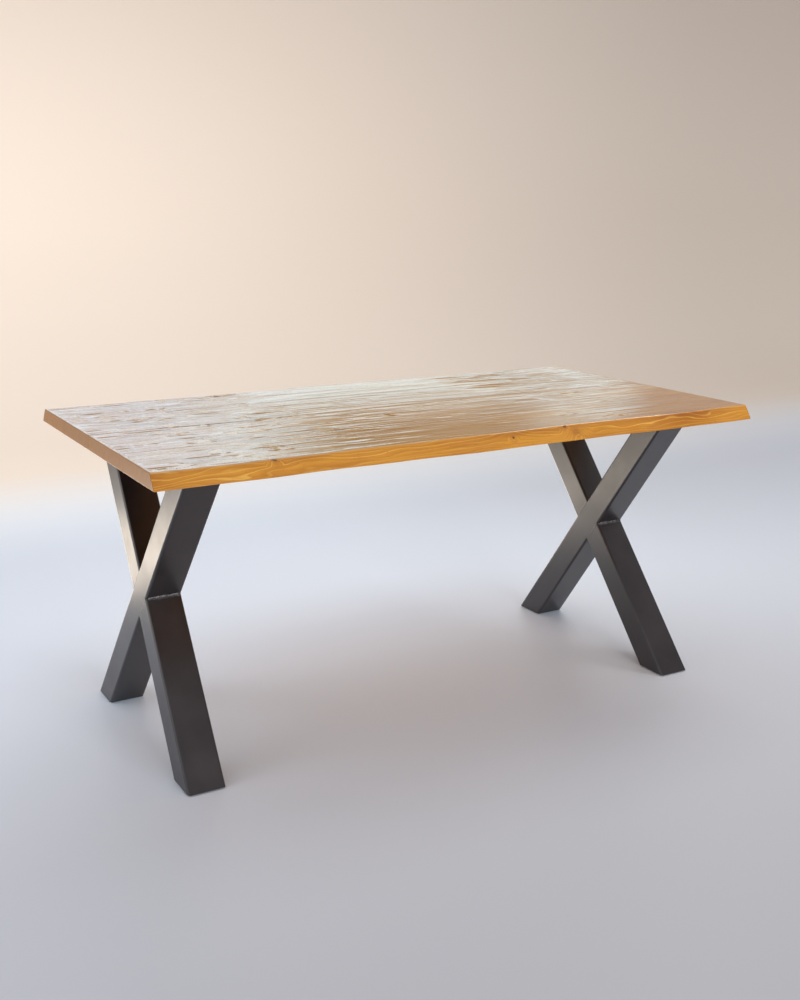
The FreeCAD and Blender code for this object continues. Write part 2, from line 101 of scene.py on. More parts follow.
@dataclass
class Shell:
    """Points and faces of one piece, gathered surface by surface."""

    points: list[Array] = field(default_factory=list)
    faces: list[Array] = field(default_factory=list)
    count: int = 0

    def add(self, points: Array, faces: Array) -> int:
        """Adds one surface.

        Args:
            points: its points, any shape that ends in three coordinates.
            faces: its faces, as indices into these points.

        Returns:
            Index that the surface's first point has in the whole piece.
        """
        first = self.count
        flat = np.asarray(points, float).reshape(-1, 3)
        self.points.append(flat)
        self.faces.append(np.asarray(faces, int) + first)
        self.count += len(flat)
        return first

    def add_bar(self, points: Array, turned: bool) -> None:
        """Adds a closed bar, with a fan of triangles over each of its ends.

        Args:
            points: rows of points along the bar, each an outline that ends with the middle of the fans.
            turned: whether the outlines run the other way round.
        """
        rows, columns = points.shape[:2]
        faces = grid_faces(rows, columns, closed=True)
        first = self.add(points, faces[:, ::-1] if turned else faces)
        fan = np.arange(columns - 2)
        for base, flip in ((0, turned), ((rows - 1) * columns, not turned)):
            cap = np.stack((base + fan + 1, base + fan, np.full_like(fan, base + columns - 1)), axis=-1)
            self.faces.append((cap[:, ::-1] if flip else cap) + first)

    def piece(self, name: str, sharp_angle: float = 40.0) -> bpy.types.Object:
        """Makes the mesh object, smooth up to an angle, with its faces turned as they were added.

        Args:
            name: name of the object and of its mesh.
            sharp_angle: angle in degrees above which an edge stays sharp.

        Returns:
            The new object, linked to the scene.
        """
        points = np.concatenate(self.points)
        sides = np.concatenate([np.full(len(f), f.shape[1]) for f in self.faces])
        corners = np.concatenate([f.ravel() for f in self.faces])
        mesh = bpy.data.meshes.new(name)
        mesh.vertices.add(len(points))
        mesh.vertices.foreach_set("co", points.astype(np.float32).ravel())
        mesh.loops.add(len(corners))
        mesh.loops.foreach_set("vertex_index", corners.astype(np.int32))
        mesh.polygons.add(len(sides))
        mesh.polygons.foreach_set("loop_start", (np.cumsum(sides) - sides).astype(np.int32))
        mesh.update(calc_edges=True)
        mesh.validate()
        mesh.polygons.foreach_set("use_smooth", np.ones(len(sides), bool))
        mesh.set_sharp_from_angle(angle=math.radians(sharp_angle))
        made = bpy.data.objects.new(name, mesh)
        bpy.context.scene.collection.objects.link(made)
        return made


def carry(made: bpy.types.Object, slot: str, material: bpy.types.Material, *nodes: str) -> None:
    """Gives a new piece its finish and sets it in the place of CAD nodes.

    Args:
        made: the new piece.
        slot: not used.
        material: finish to show.
        nodes: CAD nodes that the piece stands for.
    """
    made.data.materials.append(material)
    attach(made, BODY)
    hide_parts(*nodes)
    LOG.info("%s stands for %s", made.name, ", ".join(nodes))


def dress(node: str, material: bpy.types.Material) -> None:
    """Shows a CAD node as it is, with a better finish.

    Args:
        node: name of the CAD node.
        material: finish to show.
    """
    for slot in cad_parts[node].material_slots:
        slot.material = material
    LOG.info("%s keeps its solid", node)


# Node trees

class Graph:
    """Node tree of one material, with short ways to add and join nodes."""

    def __init__(self, name: str) -> None:
        """Starts a material that holds one Principled shader."""
        self.material = bpy.data.materials.new(name)
        self.material.use_nodes = True
        self.tree = self.material.node_tree
        self.tree.nodes.clear()
        output = self.tree.nodes.new("ShaderNodeOutputMaterial")
        self.shader = self.tree.nodes.new("ShaderNodeBsdfPrincipled")
        self.tree.links.new(self.shader.outputs["BSDF"], output.inputs["Surface"])
        self.place = self.tree.nodes.new("ShaderNodeTexCoord").outputs["Object"]

    def put(self, socket: Socket, value: object) -> None:
        """Joins a socket to another one, or sets it to a constant."""
        if isinstance(value, Socket):
            self.tree.links.new(value, socket)
        elif isinstance(value, tuple) and socket.type == "RGBA":
            socket.default_value = (*value, 1.0)
        else:
            socket.default_value = value

    def node(self, kind: str, values: dict, **settings: object) -> bpy.types.Node:
        """Adds a node.

        Args:
            kind: Blender's name of the node type.
            values: what goes into its input sockets, by their names or numbers.
            settings: its other properties.

        Returns:
            The new node.
        """
        made = self.tree.nodes.new(kind)
        for name, value in settings.items():
            setattr(made, name, value)
        for key, value in values.items():
            self.put(made.inputs[key], value)
        return made

    def set(self, **values: object) -> None:
        """Sets the shader's sockets, an underscore standing for a space in their names."""
        for key, value in values.items():
            self.put(self.shader.inputs[key.replace("_", " ")], value)

    def math(self, operation: str, *values: object) -> Socket:
        """Result of one Math node."""
        return self.node("ShaderNodeMath", dict(enumerate(values)), operation=operation).outputs[0]

    def vector(self, operation: str, *values: object) -> bpy.types.Node:
        """One Vector Math node."""
        return self.node("ShaderNodeVectorMath", dict(enumerate(values)), operation=operation)

    def scaled(self, scale: Colour, shift: Colour = (0.0, 0.0, 0.0)) -> Socket:
        """Object coordinates stretched by a scale and moved by a shift."""
        values = {"Vector": self.place, "Scale": scale, "Location": shift}
        return self.node("ShaderNodeMapping", values).outputs[0]

    def product(self, first: object, *others: object) -> Socket:
        """Product of two or more values."""
        for other in others:
            first = self.math("MULTIPLY", first, other)
        return first

    def between(self, share: object, first: object, second: object) -> Socket:
        """Number between two others, first + share * (second - first)."""
        return self.math("MULTIPLY_ADD", share, self.math("SUBTRACT", second, first), first)

    def noise(self, vector: Socket, detail: float = 2.0, roughness: float = 0.5,
              distortion: float = 0.0) -> Socket:
        """Noise from 0 to 1 over a stretched vector."""
        values = {"Vector": vector, "Scale": 1.0, "Detail": detail, "Roughness": roughness,
                  "Distortion": distortion}
        return self.node("ShaderNodeTexNoise", values).outputs[0]

    def ease(self, value: object, low: float, high: float, bottom: float = 0.0, top: float = 1.0) -> Socket:
        """Smooth step of a value between two limits, from bottom to top."""
        values = {0: value, 1: low, 2: high, 3: bottom, 4: top}
        return self.node("ShaderNodeMapRange", values, interpolation_type="SMOOTHSTEP").outputs[0]

    def mix(self, share: object, first: object, second: object, blend: str = "MIX") -> Socket:
        """Colour between two others."""
        made = self.node("ShaderNodeMix", {}, data_type="RGBA", blend_type=blend)
        sockets = {s.identifier: s for s in made.inputs}
        self.put(sockets["Factor_Float"], share)
        self.put(sockets["A_Color"], first)
        self.put(sockets["B_Color"], second)
        return next(s for s in made.outputs if s.identifier == "Result_Color")

    def attribute(self, name: str) -> Socket:
        """Value of one of the mesh's own attributes."""
        return self.node("ShaderNodeAttribute", {}, attribute_name=name).outputs["Fac"]

    def bump(self, height: Socket, distance: float, strength: float) -> Socket:
        """Normal of a bumpy surface whose height goes up to a distance in metres."""
        values = {"Height": height, "Distance": distance, "Strength": strength}
        return self.node("ShaderNodeBump", values).outputs[0]


class SkyGraph(Graph):
    """Node tree of the world, in which place is the direction of a ray."""

    def __init__(self, name: str) -> None:
        """Starts a world that holds one Background shader."""
        self.world = bpy.data.worlds.new(name)
        self.world.use_nodes = True
        self.tree = self.world.node_tree
        self.tree.nodes.clear()
        output = self.tree.nodes.new("ShaderNodeOutputWorld")
        self.shader = self.tree.nodes.new("ShaderNodeBackground")
        self.tree.links.new(self.shader.outputs["Background"], output.inputs["Surface"])
        self.place = self.tree.nodes.new("ShaderNodeTexCoord").outputs["Generated"]


# Finishes

@dataclass(frozen=True)
class Knot:
    """Place of a knot's middle and its radius, in metres, and how dark its core is."""

    x: float
    y: float
    z: float
    radius: float
    dark: float = 0.88


@dataclass(frozen=True)
class WoodFinish:
    """Honey stain under a satin lacquer, on one board sawn from its own place in the log.

    The rings are cylinders round the pith, a line along X: ring number = (distance from the pith + slow
    wander + swirls + fine wobble + taper * x + a swelling round each knot) / ring spacing. The noises that
    make them wander are multiplied by reaches in metres.
    """

    name: str
    pith: tuple[float, float]
    seed: float
    tone: float = 1.0
    knots: tuple[Knot, ...] = ()
    ring: float = 0.0056
    wander: float = 0.060
    swirl: float = 0.026
    wobble: float = 0.0026
    taper: float = 0.008
    honey: Colour = (0.680, 0.310, 0.028)
    amber: Colour = (0.420, 0.145, 0.010)
    straw: Colour = (0.850, 0.490, 0.100)
    russet: Colour = (0.300, 0.085, 0.008)
    # grey of a painted reflection on the upper face
    reflection_grey: Colour = (0.430, 0.340, 0.250)
    # dark joints, and painted shade in the gouges
    gouge_shade_and_joint_umber: Colour = (0.110, 0.075, 0.048)
    # bare wood in the chips, with a painted glint
    pale: Colour = (0.640, 0.410, 0.170)
    brown: Colour = (0.110, 0.034, 0.008)
    end_brown: Colour = (0.300, 0.125, 0.014)

    def pith_distance(self, g: Graph, shift: Colour, along: Socket) -> Socket:
        """Distance of a place from the pith, with all the wandering of the rings but for the knots.

        Args:
            g: the material's node tree.
            shift: the board's own place in the noises.
            along: place along the board.

        Returns:
            The distance in metres.
        """
        off_pith = g.vector("SUBTRACT", g.place, (0.0, *self.pith)).outputs[0]
        across = g.vector("MULTIPLY", off_pith, (0.0, 1.0, 1.0)).outputs[0]
        distance = g.vector("LENGTH", across).outputs["Value"]
        slow = g.noise(g.scaled((0.9, 7.0, 7.0), shift), 2.0, 0.45)
        curl = g.noise(g.scaled((7.0, 30.0, 30.0), shift), 1.0, 0.4)
        fine = g.noise(g.scaled((9.0, 80.0, 80.0), shift), 2.0, 0.5)
        reaches = ((slow, self.wander), (curl, self.swirl), (fine, self.wobble), (along, self.taper))
        for value, reach in reaches:
            distance = g.math("MULTIPLY_ADD", value, reach, distance)
        return distance

    def knot_marks(self, g: Graph, shift: Colour, distance: Socket) -> tuple[Socket, object, object]:
        """Swells the rings round each knot.

        Args:
            g: the material's node tree.
            shift: the board's own place in the noises.
            distance: distance from the pith without the knots.

        Returns:
            The swollen distance, and how far a place belongs to a knot's core and to its rim.
        """
        core, rim = 0.0, 0.0
        warp = g.math("SUBTRACT", g.noise(g.scaled((90.0, 110.0, 110.0), shift), 1.0), 0.5)
        for knot in self.knots:
            radius = knot.radius
            away = g.vector("SUBTRACT", g.place, (knot.x, knot.y, knot.z)).outputs[0]
            away = g.vector("MULTIPLY", away, (0.8, 1.0, 1.0)).outputs[0]
            reach = g.math("MULTIPLY_ADD", warp, 0.9 * radius, g.vector("LENGTH", away).outputs["Value"])
            distance = g.math("ADD", distance, g.ease(reach, 0.0, 4.5 * radius, 2.6 * radius, 0.0))
            core = g.math("MAXIMUM", core, g.ease(reach, 0.75 * radius, 1.05 * radius, knot.dark, 0.0))
            rim = g.math("MAXIMUM", rim, g.ease(reach, radius, 2.2 * radius, 1.0, 0.0))
        return distance, core, rim

    def material(self) -> bpy.types.Material:
        """Makes the board's material, which reads the attributes that the board's mesh carries."""
        g = Graph(self.name)
        shift = (self.seed, 2.7 * self.seed, 1.3 * self.seed)
        along = g.node("ShaderNodeSeparateXYZ", {0: g.place}).outputs["X"]
        hollow, upper, end_grain = (g.attribute(name) for name in ("hollow", "upper", "end_grain"))

        distance, core, rim = self.knot_marks(g, shift, self.pith_distance(g, shift, along))
        number = g.math("DIVIDE", distance, self.ring)
        phase = g.math("FRACT", number)
        ring_values = {"W": g.math("FLOOR", number)}
        which = g.node("ShaderNodeTexWhiteNoise", ring_values, noise_dimensions="1D").outputs[0]
        line = g.product(g.ease(phase, 0.66, 0.86), g.ease(phase, 0.90, 1.0, 1.0, 0.0),
                         g.math("MULTIPLY_ADD", which, 0.65, 0.35))
        late = g.ease(phase, 0.0, 0.7)

        blotch = g.noise(g.scaled((2.2, 13.0, 13.0), shift), 3.0, 0.55, 0.4)
        streak = g.noise(g.scaled((5.0, 230.0, 230.0), shift), 3.0, 0.6)
        fleck = g.ease(g.noise(g.scaled((34.0, 900.0, 900.0), shift), 1.0), 0.66, 0.78)
        speck = g.noise(g.scaled((230.0, 260.0, 260.0), shift), 1.0)
        stain = g.product(g.attribute("corner"), g.ease(blotch, 0.35, 0.65, 0.75, 0.15))
        # Painted reflection: the upper face is greyed, most of all towards the left end, as if it mirrored
        # the pale backdrop.
        painted_reflection = g.product(upper, g.product(g.ease(along, -0.6, 0.10, 0.54, 0.05),
                                          g.ease(blotch, 0.25, 0.75, 0.75, 1.2)))
        colour = g.mix(g.ease(blotch, 0.34, 0.64), self.amber, self.honey)
        layers = (
            (g.product(late, 0.35), self.amber),
            (g.ease(streak, 0.35, 0.75, 0.0, 0.40), self.amber),
            (g.product(line, 0.75), self.straw),
            (g.product(fleck, 0.45), self.brown),
            (g.ease(speck, 0.68, 0.76, 0.0, 0.40), self.russet),
            (g.product(rim, 0.35), self.amber),
            (stain, self.russet),
            (core, self.brown),
            (painted_reflection, self.reflection_grey),
            # Painted shade: the deeper a gouge, the darker its colour; the joints, which are dark, take the
            # same colour.
            (g.ease(hollow, 0.35, 1.10, 0.0, 0.40), self.gouge_shade_and_joint_umber),
            # The chips are painted pale: bare wood, and a painted glint for the light their facets catch.
            (g.product(g.attribute("bare"), 0.62), self.pale),
        )
        for share, layer in layers:
            colour = g.mix(share, colour, layer)
        ends = g.mix(g.product(late, 0.30), self.end_brown, self.russet)
        ends = g.mix(g.product(line, 0.70), ends, self.amber)
        colour = g.mix(end_grain, colour, ends)
        g.set(Base_Color=g.mix(1.0, colour, (self.tone, self.tone, self.tone), "MULTIPLY"))

        rough = g.noise(g.scaled((14.0, 60.0, 60.0), shift), 2.0)
        satin = g.ease(rough, 0.25, 0.8, 0.14, 0.22)
        lacquer = g.product(upper, g.math("SUBTRACT", 1.0, end_grain))
        g.set(Coat_Weight=lacquer, Coat_Roughness=0.12, Specular_IOR_Level=0.5)
        g.set(Roughness=g.math("ADD", satin, g.ease(lacquer, 0.0, 1.0, 0.24, 0.0)))
        fibre = g.math("MULTIPLY_ADD", line, 0.5, streak)
        g.set(Normal=g.bump(fibre, 0.00030, 0.30))
        return g.material


@dataclass(frozen=True)
class CoatFinish:
    """Near-black satin powder coat with its fine orange peel and a few dull patches."""

    name: str = "powder_coat"
    dark: Colour = (0.012, 0.0085, 0.0105)
    light: Colour = (0.020, 0.0155, 0.0180)

    def material(self) -> bpy.types.Material:
        """Makes the coat's material."""
        g = Graph(self.name)
        patch = g.noise(g.scaled((9.0, 9.0, 9.0)), 3.0, 0.6)
        peel = g.noise(g.scaled((520.0, 520.0, 520.0)), 1.0)
        g.set(Base_Color=g.mix(g.ease(patch, 0.3, 0.75), self.dark, self.light))
        g.set(Roughness=g.ease(patch, 0.2, 0.85, 0.28, 0.38), Specular_IOR_Level=0.8)
        g.set(Normal=g.bump(peel, 0.00006, 0.5))
        return g.material


@dataclass(frozen=True)
class WeldFinish:
    """Coated weld: raised beads are painted a lighter grey and made half metallic, a painted sheen for the
    highlights their ripples catch, and ground seams look like the coat.
    """

    name: str = "weld"
    coat: Colour = (0.014, 0.011, 0.013)
    dark: Colour = (0.032, 0.028, 0.030)
    light: Colour = (0.120, 0.112, 0.118)

    def material(self) -> bpy.types.Material:
        """Makes the weld's material, which reads how raised the bead is from the attribute bead."""
        g = Graph(self.name)
        bead = g.attribute("bead")
        spatter = g.noise(g.scaled((420.0, 420.0, 420.0)), 2.0, 0.6)
        # Painted sheen: the raised beads are lighter than the coat.
        raised = g.mix(g.ease(spatter, 0.35, 0.65), self.dark, self.light)
        g.set(Base_Color=g.mix(bead, self.coat, raised), Metallic=g.product(bead, 0.55))
        g.set(Roughness=g.ease(spatter, 0.3, 0.8, 0.26, 0.42), Specular_IOR_Level=0.8)
        g.set(Normal=g.bump(g.product(bead, spatter), 0.0004, 0.6))
        return g.material


@dataclass(frozen=True)
class MetalFinish:
    """Plain bright metal, plated or turned, with a cloudy sheen."""

    name: str
    dark: Colour
    light: Colour
    roughness: tuple[float, float]

    def material(self) -> bpy.types.Material:
        """Makes the metal's material."""
        g = Graph(self.name)
        cloud = g.noise(g.scaled((160.0, 160.0, 160.0)), 3.0, 0.6)
        g.set(Base_Color=g.mix(cloud, self.dark, self.light), Metallic=1.0)
        g.set(Roughness=g.ease(cloud, 0.3, 0.7, *self.roughness))
        g.set(Normal=g.bump(cloud, 0.00005, 0.4))
        return g.material


@dataclass(frozen=True)
class GlideFinish:
    """Dark, matt moulded plastic under the feet, with the fine grain of its mould."""

    name: str = "glide"
    dark: Colour = (0.026, 0.026, 0.028)
    light: Colour = (0.036, 0.036, 0.038)

    def material(self) -> bpy.types.Material:
        """Makes the plastic's material."""
        g = Graph(self.name)
        grain = g.noise(g.scaled((1500.0, 1500.0, 1500.0)), 2.0, 0.5)
        g.set(Base_Color=g.mix(grain, self.dark, self.light), Roughness=0.6, Specular_IOR_Level=0.4)
        g.set(Normal=g.bump(grain, 0.0001, 0.4))
        return g.material


@dataclass(frozen=True)
class StudioFinish:
    """Pale satin floor that runs up into a warmer, paler backdrop.

    The backdrop looks paler to the camera than the lamps alone would make it, most of all at the left and
    low down, and so does the rear of the floor at the left. In reflections the backdrop is a warmer shade
    with soft cool windows in it instead: a tall one at the left, a low one in the middle and another tall
    one at the right. They are dark towards the floor, hazy at half height and brightest in a band above.
    """

    name: str = "studio"
    front_floor: Colour = (0.415, 0.425, 0.458)
    floor: Colour = (0.770, 0.830, 0.940)
    wall: Colour = (0.680, 0.600, 0.525)
    glow: Colour = (0.440, 0.385, 0.330)
    floor_glow: Colour = (0.660, 0.840, 1.000)
    shade: Colour = (0.450, 0.290, 0.105)
    haze: Colour = (0.640, 0.690, 0.640)
    left_window: Colour = (0.555, 0.755, 1.000)
    right_window: Colour = (0.545, 0.800, 0.930)

    def material(self) -> bpy.types.Material:
        """Makes the studio's material."""
        g = Graph(self.name)
        place = g.node("ShaderNodeSeparateXYZ", {0: g.place}).outputs
        x, y, z = place["X"], place["Y"], place["Z"]
        path = g.node("ShaderNodeLightPath", {}).outputs
        upright = g.ease(y, 1.5, 3.1)
        mirrored = g.product(path["Is Glossy Ray"], g.ease(z, 0.2, 0.8))
        before_end = g.ease(x, 4.35, 4.95, 1.0, 0.0)
        floor = g.mix(g.ease(y, -2.0, 0.6), self.front_floor, self.floor)
        wall = g.mix(g.product(mirrored, before_end), self.wall, self.shade)
        g.set(Base_Color=g.mix(upright, floor, wall), Roughness=0.45, Specular_IOR_Level=0.35)

        left = g.ease(x, 1.4, 2.3, 1.0, 0.02)
        low = g.product(g.ease(z, 1.50, 1.70, 1.42, 0.02), before_end)
        right = g.product(g.ease(x, 3.4, 4.0, 0.0, 0.58), before_end)
        windows = g.product(
            g.math("MAXIMUM", left, g.math("MAXIMUM", low, right)),
            g.ease(z, 1.15, 1.48, 0.06, 1.24),
            g.ease(z, 1.58, 1.77, 1.0, 0.36),
            g.ease(z, 1.92, 2.10, 1.0, 3.6),
            g.ease(z, 2.4, 2.85, 1.0, 0.05),
        )
        half_height = g.product(g.ease(z, 1.58, 1.80, 0.0, 0.9), g.ease(z, 1.90, 2.10, 1.0, 0.0))
        cool = g.mix(g.ease(x, 0.5, 2.1), self.left_window, self.right_window)
        cool = g.mix(half_height, cool, self.haze)

        seen = g.math("MAXIMUM", path["Is Camera Ray"], path["Is Glossy Ray"])
        seen = g.math("MAXIMUM", seen, path["Is Transmission Ray"])
        wall_strength = g.product(g.ease(x, -1.0, 5.5, 1.0, 0.35), g.ease(z, 1.0, 4.0, 1.0, 0.4))
        floor_strength = g.product(g.ease(y, -0.6, 0.8, 0.0, 0.15), g.ease(x, 0.3, 2.0, 1.0, 0.0))
        strength = g.between(upright, floor_strength, g.between(mirrored, wall_strength, windows))
        g.set(Emission_Color=g.mix(upright, self.floor_glow, g.mix(mirrored, self.glow, cool)))
        g.set(Emission_Strength=g.product(seen, strength))
        return g.material


# The top

class LiveSide(Enum):
    """Which long side of a board keeps its sloped, wavy edge."""

    NONE = 0
    REAR = 1
    FRONT = -1


@dataclass(frozen=True)
class Scoop:
    """One hollow left by the gouge: its middle, half sizes and depth in metres, and its turn from X.

    The skew, from -1 to 1, moves its deepest line to the front or to the rear.
    """

    x: float
    y: float
    half_length: float
    half_width: float
    depth: float
    turn: float = 0.0
    skew: float = 0.0

    def local(self, x: Array, y: Array) -> tuple[Array, Array]:
        """Places along and across the hollow, as shares of its half sizes."""
        cosine, sine = math.cos(self.turn), math.sin(self.turn)
        dx, dy = x - self.x, y - self.y
        return (dx * cosine + dy * sine) / self.half_length, (dy * cosine - dx * sine) / self.half_width

    def cut(self, x: Array, y: Array) -> Array:
        """Depth of the hollow, depth * (w * (2 - w) - u^2), negative outside.

        The share w rises from 0 at both sides of the hollow to 1 at its deepest line.
        """
        u, v = self.local(x, y)
        w = np.minimum((1 + v) / (1 + self.skew), (1 - v) / (1 - self.skew))
        return self.depth * (w * (2 - w) - u ** 2)

    def over(self, relief: Array, x: Array, y: Array) -> Array:
        """The relief with the hollow in it, the deeper of the two."""
        return np.maximum(relief, self.cut(x, y))


@dataclass(frozen=True)
class Chip(Scoop):
    """A flat-bottomed chip with splintered ends, deepest at its front and running out level at its rear."""

    def inside(self, u: Array, v: Array) -> Array:
        """How far a place is inside the rim, the lesser of 1 - v^2 and 1 - ((u - m) / r)^2.

        The torn fibres lie along u. Each runs out at its own half length from its own middle,
        r = (0.75 + 0.35 sin(8 v + a)) * (0.85 + 0.25 sin(21 v + 2 a)) and m = 0.3 sin(5 v + 3 a), and a
        differs from chip to chip.
        """
        a = 40 * self.x + 70 * self.y
        r = (0.75 + 0.35 * np.sin(8 * v + a)) * (0.85 + 0.25 * np.sin(21 * v + 2 * a))
        m = 0.3 * np.sin(5 * v + 3 * a)
        return np.minimum(1 - v ** 2, 1 - ((u - m) / r) ** 2)

    def bare(self, x: Array, y: Array) -> Array:
        """Share of bare wood, 1 in the chip and 0 outside it, over a narrow rim."""
        return np.clip(3 * self.inside(*self.local(x, y)), 0.0, 1.0)

    def over(self, relief: Array, x: Array, y: Array) -> Array:
        """The relief with the chip in it, relief + bare * (depth * (1 - v) / 2 - relief)."""
        return relief + self.bare(x, y) * (self.depth * (1 - self.local(x, y)[1]) / 2 - relief)


@dataclass(frozen=True)
class Strokes:
    """A family of gouge strokes, laid out at random: how many, and the ranges of their sizes in metres."""

    count: int
    half_length: tuple[float, float]
    half_width: tuple[float, float]
    depth: tuple[float, float]
    turn: float
    skew: float = 0.75
    kind: type[Scoop] = Scoop

    def scoops(self, draw: np.random.Generator, length: float, width: float) -> list[Scoop]:
        """Draws the strokes over a face of a length and a width."""
        x = draw.uniform(-length / 2, length / 2, self.count)
        y = draw.uniform(-width / 2, width / 2, self.count)
        sizes = (draw.uniform(*span, self.count) for span in (self.half_length, self.half_width, self.depth))
        turn, skew = draw.normal(0.0, self.turn, self.count), draw.uniform(-self.skew, self.skew, self.count)
        return [self.kind(*stroke) for stroke in zip(x, y, *sizes, turn, skew)]


@dataclass
class HewnFace:
    """Relief of the hewn upper face, one continuous surface over all four boards."""

    length: float = 1.70
    width: float = 0.90
    seed: int = 7
    families: tuple[Strokes, ...] = (
        Strokes(120, (0.100, 0.260), (0.020, 0.036), (0.00060, 0.00140), 0.014),
        Strokes(330, (0.035, 0.100), (0.013, 0.026), (0.00060, 0.00170), 0.028),
    )
    splinters: Strokes = Strokes(110, (0.012, 0.036), (0.009, 0.020), (0.0008, 0.0019), 0.03, kind=Chip)
    # The chips sit where the top catches glints; the finish paints them pale, as bare wood with a painted
    # glint.
    marks: tuple[Scoop, ...] = (
        Chip(-0.637, 0.046, 0.030, 0.024, 0.0025),
        Chip(-0.638, -0.171, 0.034, 0.023, 0.0023),
        Chip(-0.648, -0.297, 0.028, 0.026, 0.0025),
        Chip(-0.507, -0.334, 0.030, 0.025, 0.0024),
        Chip(-0.768, -0.390, 0.032, 0.024, 0.0023),
        Chip(-0.760, 0.190, 0.030, 0.022, 0.0023),
        Chip(0.433, -0.364, 0.034, 0.026, 0.0019),
        Chip(0.330, -0.300, 0.030, 0.021, 0.0016),
        Chip(0.578, -0.182, 0.034, 0.023, 0.0018),
        Chip(0.540, -0.020, 0.040, 0.020, 0.0016),
        Scoop(-0.764, 0.284, 0.045, 0.014, 0.0022, 0.04),
        Scoop(-0.627, 0.323, 0.040, 0.013, 0.0022, 0.03),
        Scoop(-0.380, 0.089, 0.036, 0.012, 0.0022, 0.03),
        Scoop(-0.090, -0.095, 0.032, 0.005, 0.0018, -1.25),
    )
    vigour: tuple[tuple[float, ...], ...] = (
        (-0.35, -0.10, 0.30, 0.45, 0.60, 0.75),
        (0.95, 0.18, 0.14, 0.62, 0.75, 0.4),
    )
    torn_vigour: float = 0.6
    end_margin: float = 0.012
    wave_counts: tuple[int, int] = (12, 22)
    wave_depths: tuple[float, float] = (0.00022, 0.00015)
    waves_along: tuple[tuple[float, float], ...] = ((2.0, 9.0), (2.0, 16.0))
    waves_across: tuple[tuple[float, float], ...] = ((18.0, 55.0), (120.0, 420.0))

    def depth(self, x: Array, y: Array) -> Array:
        """Depth of the relief under the flat top, never negative.

        Of the strokes the deepest counts. Slow swells and fine ripples are added to them, each a sum of
        sine waves of many directions,
        depth * max(0, 1 + sum(sin(k * x + m * y + turn)) / sqrt(count / 2)). All of it is scaled by the
        vigour at its place along the table, the splinters and marks go over it, and it runs out level at
        both ends of the table.

        Args:
            x: places along the table.
            y: places across it, of the same shape.

        Returns:
            The depth at each place.
        """
        draw = np.random.default_rng(self.seed)
        deepest = np.zeros_like(x)
        for family in self.families:
            for stroke in family.scoops(draw, self.length, self.width):
                deepest = stroke.over(deepest, x, y)
        swells = zip(self.wave_counts, self.wave_depths, self.waves_along, self.waves_across)
        for count, depth, along, across in swells:
            shape = (count, 1, 1)
            k = draw.uniform(*along, shape) * draw.choice((-1, 1), shape)
            m = draw.uniform(*across, shape)
            turn = draw.uniform(0.0, 2 * math.pi, shape)
            waves = np.sin(k * x + m * y + turn).sum(axis=0) / math.sqrt(count / 2)
            deepest = deepest + depth * np.clip(1 + waves, 0.0, 3.0)
        deepest = deepest * np.interp(x, *self.vigour)
        for mark in self.torn() + self.marks:
            deepest = mark.over(deepest, x, y)
        return deepest * np.clip((self.length / 2 - np.abs(x)) / self.end_margin, 0.0, 1.0)

    def torn(self) -> tuple[Scoop, ...]:
        """Draws the splinters, which lie only where the relief is vigorous."""
        drawn = self.splinters.scoops(np.random.default_rng(self.seed + 1), self.length, self.width)
        return tuple(chip for chip in drawn if np.interp(chip.x, *self.vigour) > self.torn_vigour)

    def bare(self, x: Array, y: Array) -> Array:
        """Share of bare wood at each place, 1 in the chips and splinters and 0 elsewhere; the finish paints
        it pale, as bare wood with a painted glint.
        """
        chips = [mark for mark in self.torn() + self.marks if isinstance(mark, Chip)]
        return np.maximum.reduce([chip.bare(x, y) for chip in chips])


